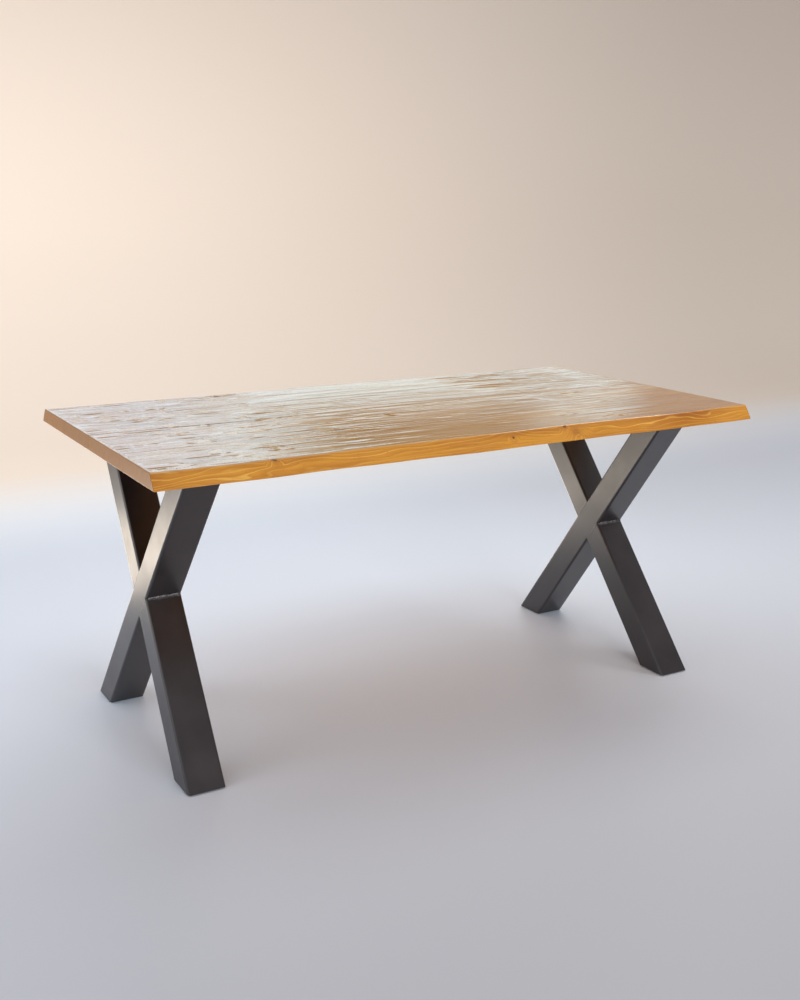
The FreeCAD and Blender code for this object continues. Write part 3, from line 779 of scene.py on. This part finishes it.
@dataclass
class Board:
    """One board of the top, with eased edges, hewn upper face and, on an outer board, one live edge.

    The body is a section carried along X. Its four sides are rows of points between eased corners, each
    corner a quadratic curve through the points at the ease distance on both sides of it. Rows at both ends
    draw in along a quarter circle, and a grid that blends the four sides fills each end.
    """

    node: str
    live_side: LiveSide
    finish: WoodFinish
    face: HewnFace
    front_ease: float = 0.0010
    rear_ease: float = 0.0010
    end_ease: float = 0.0018
    end_margin: float = 0.010
    relief_margin: float = 0.004
    full_shade_depth: float = 0.0018
    stain_start: float = 0.6
    set_back: float = 0.024
    slow_wave: tuple[float, float] = (0.0026, 0.640)
    quick_wave: tuple[float, float] = (0.0018, 0.270)
    lower_phases: tuple[float, float] = (1.18, 0.64)
    upper_phases: tuple[float, float] = (1.38, 2.97)
    half_width: float = 0.450
    step_along: float = 0.005
    step_across: float = 0.0026
    ease_points: int = 4
    end_rows: int = 5

    def wave(self, x: Array, phases: tuple[float, float]) -> Array:
        """Swing of the live edge: a slow and a quick sine wave along X, added."""
        slow = self.slow_wave[0] * np.sin(2 * math.pi * x / self.slow_wave[1] + phases[0])
        quick = self.quick_wave[0] * np.sin(2 * math.pi * x / self.quick_wave[1] + phases[1])
        return slow + quick

    def side_lines(self, x: Array, low: float, high: float) -> tuple[Array, Array, Array, Array]:
        """Y of the section's four corners along the board.

        A live edge is half the top's width plus its wave, and stands back by a fixed distance at the top.
        The front edge is the rear one turned half round about the table's middle.

        Args:
            x: places along the board.
            low: Y of the board's front side.
            high: Y of its rear side.

        Returns:
            Front lower, front upper, rear lower and rear upper corner, one value for each place.
        """
        front_low, front_high = np.full_like(x, low), np.full_like(x, low)
        rear_low, rear_high = np.full_like(x, high), np.full_like(x, high)
        if self.live_side is not LiveSide.NONE:
            side = self.live_side.value
            lower = side * (self.half_width + self.wave(side * x, self.lower_phases))
            upper = side * (self.half_width - self.set_back + self.wave(side * x, self.upper_phases))
            if self.live_side is LiveSide.FRONT:
                front_low, front_high = lower, upper
            else:
                rear_low, rear_high = lower, upper
        return front_low, front_high, rear_low, rear_high

    def eased_row(self, first: Array, corner_a: Array, corner_b: Array, last: Array,
                  ease_a: float, ease_b: float, count: int) -> Array:
        """Row of points from one side of the section over two eased corners to the other side.

        Args:
            first: point on the side before the first corner, for each place along the board.
            corner_a: the first corner.
            corner_b: the second corner.
            last: point on the side after the second corner.
            ease_a: ease distance at the first corner.
            ease_b: ease distance at the second corner.
            count: number of points between the corners.

        Returns:
            The row's points as an array of places, points and (y, z).
        """
        def toward(start: Array, goal: Array, distance: float) -> Array:
            """Point at a distance from start on the line to goal."""
            line = goal - start
            return start + distance * line / np.linalg.norm(line, axis=-1, keepdims=True)

        share = np.linspace(0.0, 1.0, self.ease_points + 1)[None, :, None]

        def curve(before: Array, corner: Array, after: Array) -> Array:
            """Quadratic curve from before to after, drawn to the corner."""
            return ((1 - share) ** 2 * before[:, None] + 2 * share * (1 - share) * corner[:, None]
                    + share ** 2 * after[:, None])

        after_a, before_b = toward(corner_a, corner_b, ease_a), toward(corner_b, corner_a, ease_b)
        level = np.linspace(0.0, 1.0, count)[None, 1:-1, None]
        middle = after_a[:, None] * (1 - level) + before_b[:, None] * level
        start = curve(toward(corner_a, first, ease_a), corner_a, after_a)
        stop = curve(before_b, corner_b, toward(corner_b, last, ease_b))
        return np.concatenate((start, middle, stop), axis=1)

    def build(self) -> bpy.types.Object:
        """Builds the board's mesh, with the attributes that its finish reads.

        They are hollow, the depth of the relief and of the joints, bare, where the face is chipped,
        upper, how far a place is on the upper face, end_grain, and corner, how near the front edge's
        upper rim it is.

        Returns:
            The new piece.
        """
        low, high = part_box(self.node)
        bend = np.linspace(0.0, math.pi / 2, self.end_rows)
        tip, draw_in = self.end_ease * (1 - np.sin(bend)), self.end_ease * (1 - np.cos(bend))
        count = int((high.x - low.x) / self.step_along)
        inner = np.linspace(low.x + self.end_ease, high.x - self.end_ease, count)[1:-1]
        x = np.concatenate((low.x + tip[::-1], inner, high.x - tip))
        inset = np.concatenate((draw_in[::-1], np.zeros(len(inner)), draw_in))
        end_share = np.concatenate((np.sin(bend[::-1]), np.zeros(len(inner)), np.sin(bend)))

        front_low, front_high, rear_low, rear_high = self.side_lines(x, low.y, high.y)

        def at_height(y: Array, z: float) -> Array:
            """Section points at one height."""
            return np.stack((y, np.full_like(y, z)), axis=-1)

        corners = [at_height(front_low, low.z), at_height(front_high, high.z),
                   at_height(rear_high, high.z), at_height(rear_low, low.z)]
        across = int((high.y - low.y) / self.step_across)
        upright = int((high.z - low.z) / self.step_across)
        top = self.eased_row(*corners, self.front_ease, self.rear_ease, across)
        bottom = self.eased_row(corners[1], corners[0], corners[3], corners[2],
                                self.front_ease, self.rear_ease, across)
        rise = np.linspace(0.0, 1.0, upright)[None, :, None]
        front = bottom[:, :1] * (1 - rise) + top[:, :1] * rise
        rear = bottom[:, -1:] * (1 - rise) + top[:, -1:] * rise

        places = np.broadcast_to(x[:, None], top.shape[:2])
        relief = self.face.depth(places, top[..., 0])
        fade = np.clip((top[..., 1] - (high.z - self.relief_margin)) / self.relief_margin, 0.0, 1.0)
        relief = relief * fade
        top[..., 1] -= relief

        loop = np.concatenate((top, rear[:, -2:0:-1], bottom[:, ::-1], front[:, 1:-1]), axis=1)
        middle = loop.mean(axis=1, keepdims=True)
        reach = np.abs(loop - middle)
        edge = reach.max(axis=1, keepdims=True)
        near_edge = np.clip((reach - edge + self.end_margin) / self.end_margin, 0.0, 1.0)
        loop = loop - np.sign(loop - middle) * near_edge * inset[:, None, None]

        rows, columns = loop.shape[:2]
        points = np.concatenate((np.broadcast_to(x[:, None, None], (rows, columns, 1)), loop), axis=-1)
        width, eased = top.shape[1], self.ease_points + 1
        names = ("hollow", "bare", "upper", "end_grain", "corner")
        marks = {name: np.zeros((rows, columns)) for name in names}
        # Gouge depth, which the finish turns into painted shade; the next two lines add the dark joints.
        marks["hollow"][:, :width] = relief / self.full_shade_depth
        marks["hollow"][:, :eased] += self.live_side is not LiveSide.FRONT
        marks["hollow"][:, width - eased:width] += self.live_side is not LiveSide.REAR
        marks["bare"][:, :width] = self.face.bare(places, top[..., 0])
        marks["upper"][:, :width] = fade
        marks["end_grain"][:] = end_share[:, None]
        stained = (rise[0, 1:-1, 0] - self.stain_start) / (1 - self.stain_start)
        marks["corner"][:, -(upright - 2):] = np.clip(stained, 0.0, 1.0)

        shell = Shell()
        shell.add(points, grid_faces(rows, columns, closed=True)[:, ::-1])
        for row, flip in ((0, True), (rows - 1, False)):
            self.fill_end(shell, points[row], row * columns, width, upright, flip)
        made = shell.piece(self.node + "_hewn", sharp_angle=60.0)
        for name, values in marks.items():
            ends = np.full(shell.count - values.size, float(name == "end_grain"))
            values = np.concatenate((values.ravel(), ends)).astype(np.float32)
            made.data.attributes.new(name, "FLOAT", "POINT").data.foreach_set("value", values)
        return made

    def fill_end(self, shell: Shell, ring: Array, first: int, across: int, upright: int, flip: bool) -> None:
        """Fills one end with a grid blended from the ring's four sides.

        A point is (1 - t) * bottom(s) + t * top(s) + (1 - s) * front(t) + s * rear(t), less the same
        blend of the four corners.

        Args:
            shell: the board's points and faces so far.
            ring: the last row of the section's points.
            first: index of the ring's first point.
            across: number of points in the top row, and in the bottom row.
            upright: number of points in each side row, corners included.
            flip: whether the faces turn the other way round.
        """
        index = np.arange(len(ring))
        top = index[:across]
        rear = index[across - 1:across + upright - 1][::-1]
        bottom = index[across + upright - 2:2 * across + upright - 2][::-1]
        front = np.concatenate(([bottom[0]], index[2 * across + upright - 2:], [top[0]]))
        s = np.linspace(0.0, 1.0, across)[None, :, None]
        t = np.linspace(0.0, 1.0, upright)[:, None, None]
        ruled = (1 - t) * ring[bottom][None] + t * ring[top][None]
        sides = (1 - s) * ring[front][:, None] + s * ring[rear][:, None]
        low = (1 - s) * ring[bottom[0]] + s * ring[bottom[-1]]
        high = (1 - s) * ring[top[0]] + s * ring[top[-1]]
        grid = ruled + sides - (1 - t) * low - t * high

        inside = grid[1:-1, 1:-1].reshape(-1, 3)
        numbers = np.empty((upright, across), int)
        numbers[0], numbers[-1] = first + bottom, first + top
        numbers[:, 0], numbers[:, -1] = first + front, first + rear
        numbers[1:-1, 1:-1] = shell.count + np.arange(len(inside)).reshape(upright - 2, across - 2)
        quads = numbers.ravel()[grid_faces(upright, across)]
        if flip:
            quads = quads[:, ::-1]
        shell.points.append(inside)
        shell.faces.append(quads)
        shell.count += len(inside)


@dataclass
class TableTop:
    """The four boards side by side."""

    face: HewnFace = field(default_factory=HewnFace)

    def boards(self) -> list[Board]:
        """The boards from the rear to the front, each with its own grain."""
        front_knots = (
            Knot(-0.570, -0.427, 0.752, 0.0055),
            Knot(0.060, -0.435, 0.7405, 0.0042),
            Knot(0.225, -0.427, 0.753, 0.0046),
            Knot(0.254, -0.437, 0.738, 0.0095, 0.22),
            Knot(0.099, -0.251, 0.755, 0.0100, 0.35),
        )
        middle_knots = (Knot(-0.290, -0.202, 0.755, 0.0130, 0.40), Knot(0.119, -0.182, 0.755, 0.0120, 0.35))
        return [
            Board("rear_board", LiveSide.REAR, WoodFinish("rear_board_wood", (0.310, 0.640), 3.1, 1.0),
                  self.face, rear_ease=0.0020),
            Board("rear_middle_board", LiveSide.NONE,
                  WoodFinish("rear_middle_board_wood", (0.150, 0.850), 5.7, 0.97),
                  self.face, front_ease=0.0034),
            Board("front_middle_board", LiveSide.NONE,
                  WoodFinish("front_middle_board_wood", (-0.080, 0.660), 8.3, 1.02, middle_knots),
                  self.face, front_ease=0.0016, rear_ease=0.0034),
            Board("front_board", LiveSide.FRONT,
                  WoodFinish("front_board_wood", (-0.270, 0.742), 11.9, 1.0, front_knots),
                  self.face, front_ease=0.0020),
        ]

    def build(self) -> None:
        """Builds and dresses the boards."""
        for board in self.boards():
            carry(board.build(), "top_wood", board.finish.material(), board.node)


# The frames

class Side(Enum):
    """Which end of the table a frame stands at."""

    LEFT = "left"
    RIGHT = "right"


class TubeEnd(Enum):
    """How a tube's end is cut: level at a height, or coped onto the through tube's upper or lower flank."""

    FOOT = "foot"
    HEAD = "head"
    FLANK_ABOVE = 1
    FLANK_BELOW = -1


@dataclass
class FrameFinishes:
    """The finishes that both frames share."""

    coat: bpy.types.Material
    weld: bpy.types.Material
    zinc: bpy.types.Material
    brass: bpy.types.Material
    glide: bpy.types.Material


@dataclass
class XFrame:
    """One X frame: a through tube, two arms coped onto it, welds, plates and fasteners."""

    side: Side
    finishes: FrameFinishes
    tube_depth: float = 0.090
    tube_width: float = 0.075
    tube_wall: float = 0.003
    tube_corner: float = 0.006
    spread: float = 0.566
    foot: float = 0.007
    head: float = 0.713
    bead: float = 0.006
    plate_bead: float = 0.005
    bead_end: float = 0.0030
    bead_pitch: float = 0.0047
    bead_bow: float = 0.0022
    bead_drift: tuple[float, float] = (0.0012, 0.031)
    bead_swells: tuple[tuple[float, float], ...] = ((0.10, 0.043), (0.07, 0.017))
    seam_half: float = 0.0030
    seam_shift: float = 0.0018
    seam_proud: float = 0.00012
    seam_crown: float = 0.00022
    seam_root: tuple[float, float] = (0.0012, 0.0030)
    seam_end: float = 0.0008
    corner_steps: int = 9
    rings: int = 13
    bead_points: tuple[int, int] = (121, 13)
    seam_points: tuple[int, int] = (41, 9)

    def __post_init__(self) -> None:
        """Works out the frame's place and lean."""
        low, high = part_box(f"{self.side.value}_through_tube")
        self.x = (low.x + high.x) / 2
        self.crossing = (self.foot + self.head) / 2
        self.lean = math.atan2(self.spread, self.head - self.foot)

    def node(self, name: str) -> str:
        """Full name of one of this frame's CAD nodes."""
        return f"{self.side.value}_{name}"

    def axes(self, top_to_rear: bool) -> tuple[Array, Array]:
        """Direction along a leaning tube, upwards, and the direction across it in the frame's plane."""
        sign = 1 if top_to_rear else -1
        along = np.array((0.0, sign * math.sin(self.lean), math.cos(self.lean)))
        across = np.array((0.0, -sign * math.cos(self.lean), math.sin(self.lean)))
        return along, across

    def tube(self, name: str, top_to_rear: bool, start: TubeEnd, stop: TubeEnd) -> bpy.types.Object:
        """Hollow tube whose two ends are cut by planes.

        Every line of the tube's section runs along the tube from one plane to the other: a point is
        middle + u * X + v * across + s * along. A level cut at height h has
        s = (h - crossing - v * sin(lean)) / cos(lean), and the cope on the through tube's upper or lower
        flank has s = (half width + v * cos(2 lean)) / sin(2 lean), with the half width negative below.

        Args:
            name: CAD node that the tube stands for.
            top_to_rear: whether the tube leans to the rear going up.
            start: cut of the lower end.
            stop: cut of the upper end.

        Returns:
            The new piece.
        """
        along, across = self.axes(top_to_rear)
        outer = rounded_rectangle(self.tube_depth, self.tube_width, self.tube_corner, self.corner_steps)
        inner = rounded_rectangle(self.tube_depth - 2 * self.tube_wall, self.tube_width - 2 * self.tube_wall,
                                  self.tube_corner - self.tube_wall, self.corner_steps)
        section = np.concatenate((outer, inner))
        u, v = section[:, 0], section[:, 1]

        def cut(end: TubeEnd) -> Array:
            """Place of each line's end along the tube."""
            if end in (TubeEnd.FOOT, TubeEnd.HEAD):
                height = self.foot if end is TubeEnd.FOOT else self.head
                return (height - self.crossing - v * math.sin(self.lean)) / math.cos(self.lean)
            return (end.value * self.tube_width / 2 + v * math.cos(2 * self.lean)) / math.sin(2 * self.lean)

        share = np.linspace(0.0, 1.0, self.rings)[:, None]
        s = cut(start) * (1 - share) + cut(stop) * share
        middle = np.array((self.x, 0.0, self.crossing))
        points = (middle + u[None, :, None] * np.array((1.0, 0.0, 0.0)) + v[None, :, None] * across
                  + s[..., None] * along)
        half = len(outer)
        total = 2 * half
        shell = Shell()
        wall = grid_faces(self.rings, half, closed=True)
        row, column = wall // half, wall % half
        facing = np.linalg.det(np.stack((np.array((1.0, 0.0, 0.0)), across, along))) > 0
        outside = row * total + column
        inside = (row * total + half + column)[:, ::-1]
        after = np.roll(np.arange(half), -1)
        ends = []
        for base, flip in ((0, True), ((self.rings - 1) * total, False)):
            lip = np.stack((base + np.arange(half), base + after, base + half + after,
                            base + half + np.arange(half)), axis=-1)
            ends.append(lip[:, ::-1] if flip else lip)
        faces = np.concatenate((outside, inside, *ends))
        shell.add(points, faces if facing else faces[:, ::-1])
        return shell.piece(self.node(name) + "_coated")

    def bead_run(self, shell: Shell, corner: tuple[float, float], first: Array, second: Array, leg: float,
                 seed: int) -> None:
        """Adds one rippled weld bead along X in the corner between two faces.

        Across, the bead bulges from one face to the other along corner + reach * (cos, sin) between the
        two faces' directions. Its reach is
        leg * (0.80 + 0.13 * ripple + swell) * flat * (0.35 + 0.65 * end). The ripple is |sin| along X and
        bends back at the bead's sides, the swell is two slow waves, flat keeps the bead from bulging in
        the middle, and end rounds its two ends off.

        Args:
            shell: gathers the surfaces.
            corner: Y and Z of the corner line.
            first: direction of the first face away from the corner, as (y, z).
            second: direction of the second face.
            leg: greatest reach of the bead.
            seed: start of the random draw for its irregular ripples.
        """
        draw = np.random.default_rng(seed)
        stations, profile = self.bead_points
        half = self.tube_depth / 2 - self.bead_end
        x = np.linspace(-half, half, stations)[:, None]
        share = np.linspace(0.0, 1.0, profile)[None, :]
        low, high = math.atan2(first[1], first[0]), math.atan2(second[1], second[0])
        turn = (high - low + math.pi) % (2 * math.pi) - math.pi
        angle = low + turn * share
        bow = self.bead_bow * (2 * share - 1) ** 2

        def wave(size: float, length: float) -> Array:
            """Wave along the bead that starts anywhere."""
            return size * np.sin(2 * math.pi * x / length + draw.uniform(0, 6.3))

        wander = wave(*self.bead_drift)
        ripple = np.abs(np.sin(math.pi * (x + bow + wander) / self.bead_pitch))
        swell = sum(wave(size, length) for size, length in self.bead_swells)
        flat = 1 / np.cos(turn * (share - 0.5))
        flat = flat * math.cos(turn / 2) * 0.55 + 0.45
        end = np.sqrt(np.clip(1 - (np.abs(x) / half) ** 12, 0.0, 1.0))
        reach = leg * (0.80 + 0.13 * ripple + swell) * flat * (0.35 + 0.65 * end)
        bulge = np.stack((np.broadcast_to(x + self.x, reach.shape), corner[0] + reach * np.cos(angle),
                          corner[1] + reach * np.sin(angle)), axis=-1)
        root = np.stack((x + self.x, np.full_like(x, corner[0]), np.full_like(x, corner[1])), axis=-1)
        shell.add_bar(np.concatenate((bulge, root), axis=1), turn < 0)

    def crossing_welds(self) -> bpy.types.Object:
        """Builds the four beads of the crossing and the four seams ground flush on its flat faces."""
        shell = Shell()
        sine, cosine = math.sin(self.lean), math.cos(self.lean)
        side_corner = self.tube_width / 2 / cosine
        end_corner = self.tube_width / 2 / sine
        up_front, down_front = np.array((-sine, cosine)), np.array((-sine, -cosine))
        up_rear, down_rear = np.array((sine, cosine)), np.array((sine, -cosine))
        seed = 20 if self.side is Side.LEFT else 40
        self.bead_run(shell, (-side_corner, self.crossing), up_front, down_front, self.bead, seed)
        self.bead_run(shell, (side_corner, self.crossing), down_rear, up_rear, self.bead, seed + 1)
        self.bead_run(shell, (0.0, self.crossing + end_corner), up_rear, up_front, self.bead, seed + 2)
        self.bead_run(shell, (0.0, self.crossing - end_corner), down_front, down_rear, self.bead, seed + 3)
        raised = shell.count
        for level in (1, -1):
            for face in (-1, 1):
                self.ground_seam(shell, level, face)
        return self.weld_piece(shell, "crossing_welds", raised)

    def ground_seam(self, shell: Shell, level: int, face: int) -> None:
        """Adds one seam ground flush beside an arm's end.

        Across, the strip is a flat lens: it lies at the tube's flat face, slightly proud in the middle
        and just under the face at both sides, and closes behind along the through tube's round corner.
        Where the arm's own corners round off, at w from the arm's middle line, the side of the strip that
        lies on the arm falls with them: fall = r - sqrt(r^2 - (|w| - flat half)^2).

        Args:
            shell: gathers the surfaces.
            level: 1 above the through tube, -1 below it.
            face: 1 on the face towards +X, -1 on the other one.
        """
        along, across = self.axes(False)
        stations, profile = self.seam_points
        flank, flat_face = self.tube_width / 2, self.tube_depth / 2
        w = np.linspace(-1.0, 1.0, stations)[:, None] * (flank - self.seam_end)
        round_off = np.clip(np.abs(w) - flank + self.tube_corner, 0.0, None)
        fall = self.tube_corner - np.sqrt(self.tube_corner ** 2 - round_off ** 2)
        share = np.linspace(-1.0, 1.0, profile)
        v = level * np.append(flank - self.seam_shift + self.seam_half * share, flank - self.seam_root[0])
        u = flat_face + self.seam_proud - self.seam_crown * share ** 2 - fall * (1 + share) / 2
        u = np.concatenate((u, flat_face - self.seam_root[1] - fall), axis=1)
        s = (w + v * math.cos(2 * self.lean)) / math.sin(2 * self.lean)
        middle = np.array((self.x, 0.0, self.crossing))
        points = (middle + face * u[..., None] * np.array((1.0, 0.0, 0.0)) + v[None, :, None] * across
                  + s[..., None] * along)
        shell.add_bar(points, level * face < 0)

    def plate_welds(self) -> bpy.types.Object:
        """Builds the beads between the tubes' heads and the top plate."""
        shell = Shell()
        sine, cosine = math.sin(self.lean), math.cos(self.lean)
        side_corner = self.tube_width / 2 / cosine
        head_offset = (self.head - self.crossing) * math.tan(self.lean)
        seed = 60 if self.side is Side.LEFT else 80
        level = np.array((1.0, 0.0))
        for index, sign in enumerate((-1, 1)):
            down = np.array((-sign * sine, -cosine))
            inner = (sign * head_offset - side_corner, self.head)
            outer = (sign * head_offset + side_corner, self.head)
            self.bead_run(shell, inner, -level, down, self.plate_bead, seed + 2 * index)
            self.bead_run(shell, outer, down, level, self.plate_bead, seed + 2 * index + 1)
        return self.weld_piece(shell, "plate_welds", shell.count)

    def weld_piece(self, shell: Shell, name: str, raised: int) -> bpy.types.Object:
        """Makes a weld's mesh object, with the attribute bead that its finish reads.

        Args:
            shell: the weld's surfaces, its raised beads first.
            name: CAD node that the weld stands for.
            raised: number of points on the raised beads.

        Returns:
            The new piece.
        """
        made = shell.piece(self.node(name) + "_beaded")
        bead = (np.arange(shell.count) < raised).astype(np.float32)
        made.data.attributes.new("bead", "FLOAT", "POINT").data.foreach_set("value", bead)
        return made

    def build(self) -> None:
        """Builds the frame's new pieces and dresses the CAD nodes that stay."""
        tubes = (
            ("through_tube", False, TubeEnd.FOOT, TubeEnd.HEAD),
            ("upper_arm", True, TubeEnd.FLANK_ABOVE, TubeEnd.HEAD),
            ("lower_arm", True, TubeEnd.FOOT, TubeEnd.FLANK_BELOW),
        )
        for name, *cuts in tubes:
            carry(self.tube(name, *cuts), "powder_coat", self.finishes.coat, self.node(name))
        carry(self.crossing_welds(), "weld", self.finishes.weld, self.node("crossing_welds"))
        carry(self.plate_welds(), "weld", self.finishes.weld, self.node("plate_welds"))
        for name in ("top_plate", "front_foot_plate", "rear_foot_plate"):
            dress(self.node(name), self.finishes.coat)
        for name in ("front_glide", "rear_glide"):
            dress(self.node(name), self.finishes.glide)
        for name in ("bolts", "washers"):
            dress(self.node(name), self.finishes.zinc)
        dress(self.node("inserts"), self.finishes.brass)


# The studio

@dataclass
class Lamp:
    """One soft rectangular lamp: its place, the point it faces, its size and its power."""

    name: str
    place: Colour
    aim: Colour
    size: tuple[float, float]
    watts: float
    colour: Colour = (1.0, 1.0, 1.0)

    def build(self) -> None:
        """Adds the lamp, unseen by the camera."""
        data = bpy.data.lights.new(self.name, "AREA")
        data.shape = "RECTANGLE"
        data.size, data.size_y = self.size
        data.energy = self.watts
        data.color = self.colour
        lamp = bpy.data.objects.new(self.name, data)
        lamp.visible_camera = False
        ray = np.array(self.aim) - np.array(self.place)
        flat = math.hypot(ray[0], ray[1])
        turn = math.atan2(ray[1], ray[0]) - math.pi / 2 if flat > 0.0 else 0.0
        lamp.location = self.place
        lamp.rotation_euler = (math.atan2(flat, -ray[2]), 0.0, turn)
        bpy.context.scene.collection.objects.link(lamp)


@dataclass
class Studio:
    """Floor, backdrop, light and camera."""

    finish: StudioFinish = field(default_factory=StudioFinish)
    wall: float = 4.4
    cove: float = 1.2
    cove_points: int = 33
    reach: float = 9.0
    wall_height: float = 4.5
    front_sky: Colour = (0.30, 0.28, 0.29)
    rear_sky: Colour = (0.80, 0.79, 0.80)
    rear_direction: Colour = (-0.40, 0.80, 0.45)
    camera_place: Colour = (-1.6699, -2.8597, 1.3361)
    camera_turn: Colour = (1.52545, -0.00495, -0.5265)
    lens: float = 44.294
    shift: float = -0.2521

    def sweep(self) -> bpy.types.Object:
        """Builds the floor that bends up into the backdrop, a profile carried along X.

        The profile is a level line, a quarter circle of the cove's radius and an upright line.

        Returns:
            The stage's object.
        """
        bend = np.linspace(0.0, math.pi / 2, self.cove_points)
        y = np.concatenate(([-self.reach], self.wall - self.cove + self.cove * np.sin(bend), [self.wall]))
        z = np.concatenate(([0.0], self.cove * (1 - np.cos(bend)), [self.wall_height]))
        x = np.array((-self.reach, self.reach))
        points = np.stack((np.broadcast_to(x[:, None], (2, len(y))), np.broadcast_to(y, (2, len(y))),
                           np.broadcast_to(z, (2, len(y)))), axis=-1)
        shell = Shell()
        shell.add(points, grid_faces(2, len(y))[:, ::-1])
        return shell.piece("studio_sweep")

    def light(self) -> None:
        """Sets the plain pale surroundings and the soft lamps."""
        g = SkyGraph("studio_world")
        toward = g.vector("DOT_PRODUCT", g.place, self.rear_direction).outputs["Value"]
        g.set(Color=g.mix(g.ease(toward, -0.7, 0.7), self.front_sky, self.rear_sky), Strength=1.0)
        bpy.context.scene.world = g.world
        lamps = (
            Lamp("key_lamp", (0.3, -7.0, 2.0), (0.0, 0.0, 0.6), (3.6, 2.0), 245.0, (1.0, 0.97, 0.92)),
            Lamp("side_lamp", (-4.5, 0.6, 2.2), (-0.8, 0.0, 0.5), (2.4, 1.8), 29.0, (0.96, 0.98, 1.0)),
            Lamp("overhead_lamp", (1.45, 0.0, 2.2), (0.9, 0.0, 0.75), (0.8, 0.8), 11.5, (1.0, 0.96, 0.88)),
            Lamp("low_strip_lamp", (-1.0, 1.47, 0.03), (-1.0, 1.47, 1.0), (4.6, 0.90), 56.0,
                 (1.0, 0.86, 0.69)),
        )
        for lamp in lamps:
            lamp.build()

    def camera(self) -> None:
        """Sets the camera at the photograph's viewpoint."""
        data = bpy.data.cameras.new("camera")
        data.sensor_width = 36.0
        data.lens = self.lens
        data.shift_y = self.shift
        camera = bpy.data.objects.new("camera", data)
        camera.location = self.camera_place
        camera.rotation_euler = self.camera_turn
        bpy.context.scene.collection.objects.link(camera)
        bpy.context.scene.camera = camera

    def build(self) -> None:
        """Builds the stage and sets the colour management."""
        stage = self.sweep()
        stage.data.materials.append(self.finish.material())
        self.light()
        self.camera()
        bpy.context.scene.view_settings.view_transform = "Standard"


def main() -> None:
    logging.basicConfig(level=logging.INFO, format="%(message)s")
    Studio().build()
    TableTop().build()
    finishes = FrameFinishes(
        coat=CoatFinish().material(),
        weld=WeldFinish().material(),
        zinc=MetalFinish("zinc", (0.55, 0.56, 0.58), (0.74, 0.75, 0.77), (0.24, 0.40)).material(),
        brass=MetalFinish("brass", (0.60, 0.42, 0.16), (0.78, 0.58, 0.26), (0.22, 0.36)).material(),
        glide=GlideFinish().material(),
    )
    for side in Side:
        XFrame(side, finishes).build()


if __name__ == "__main__":
    main()
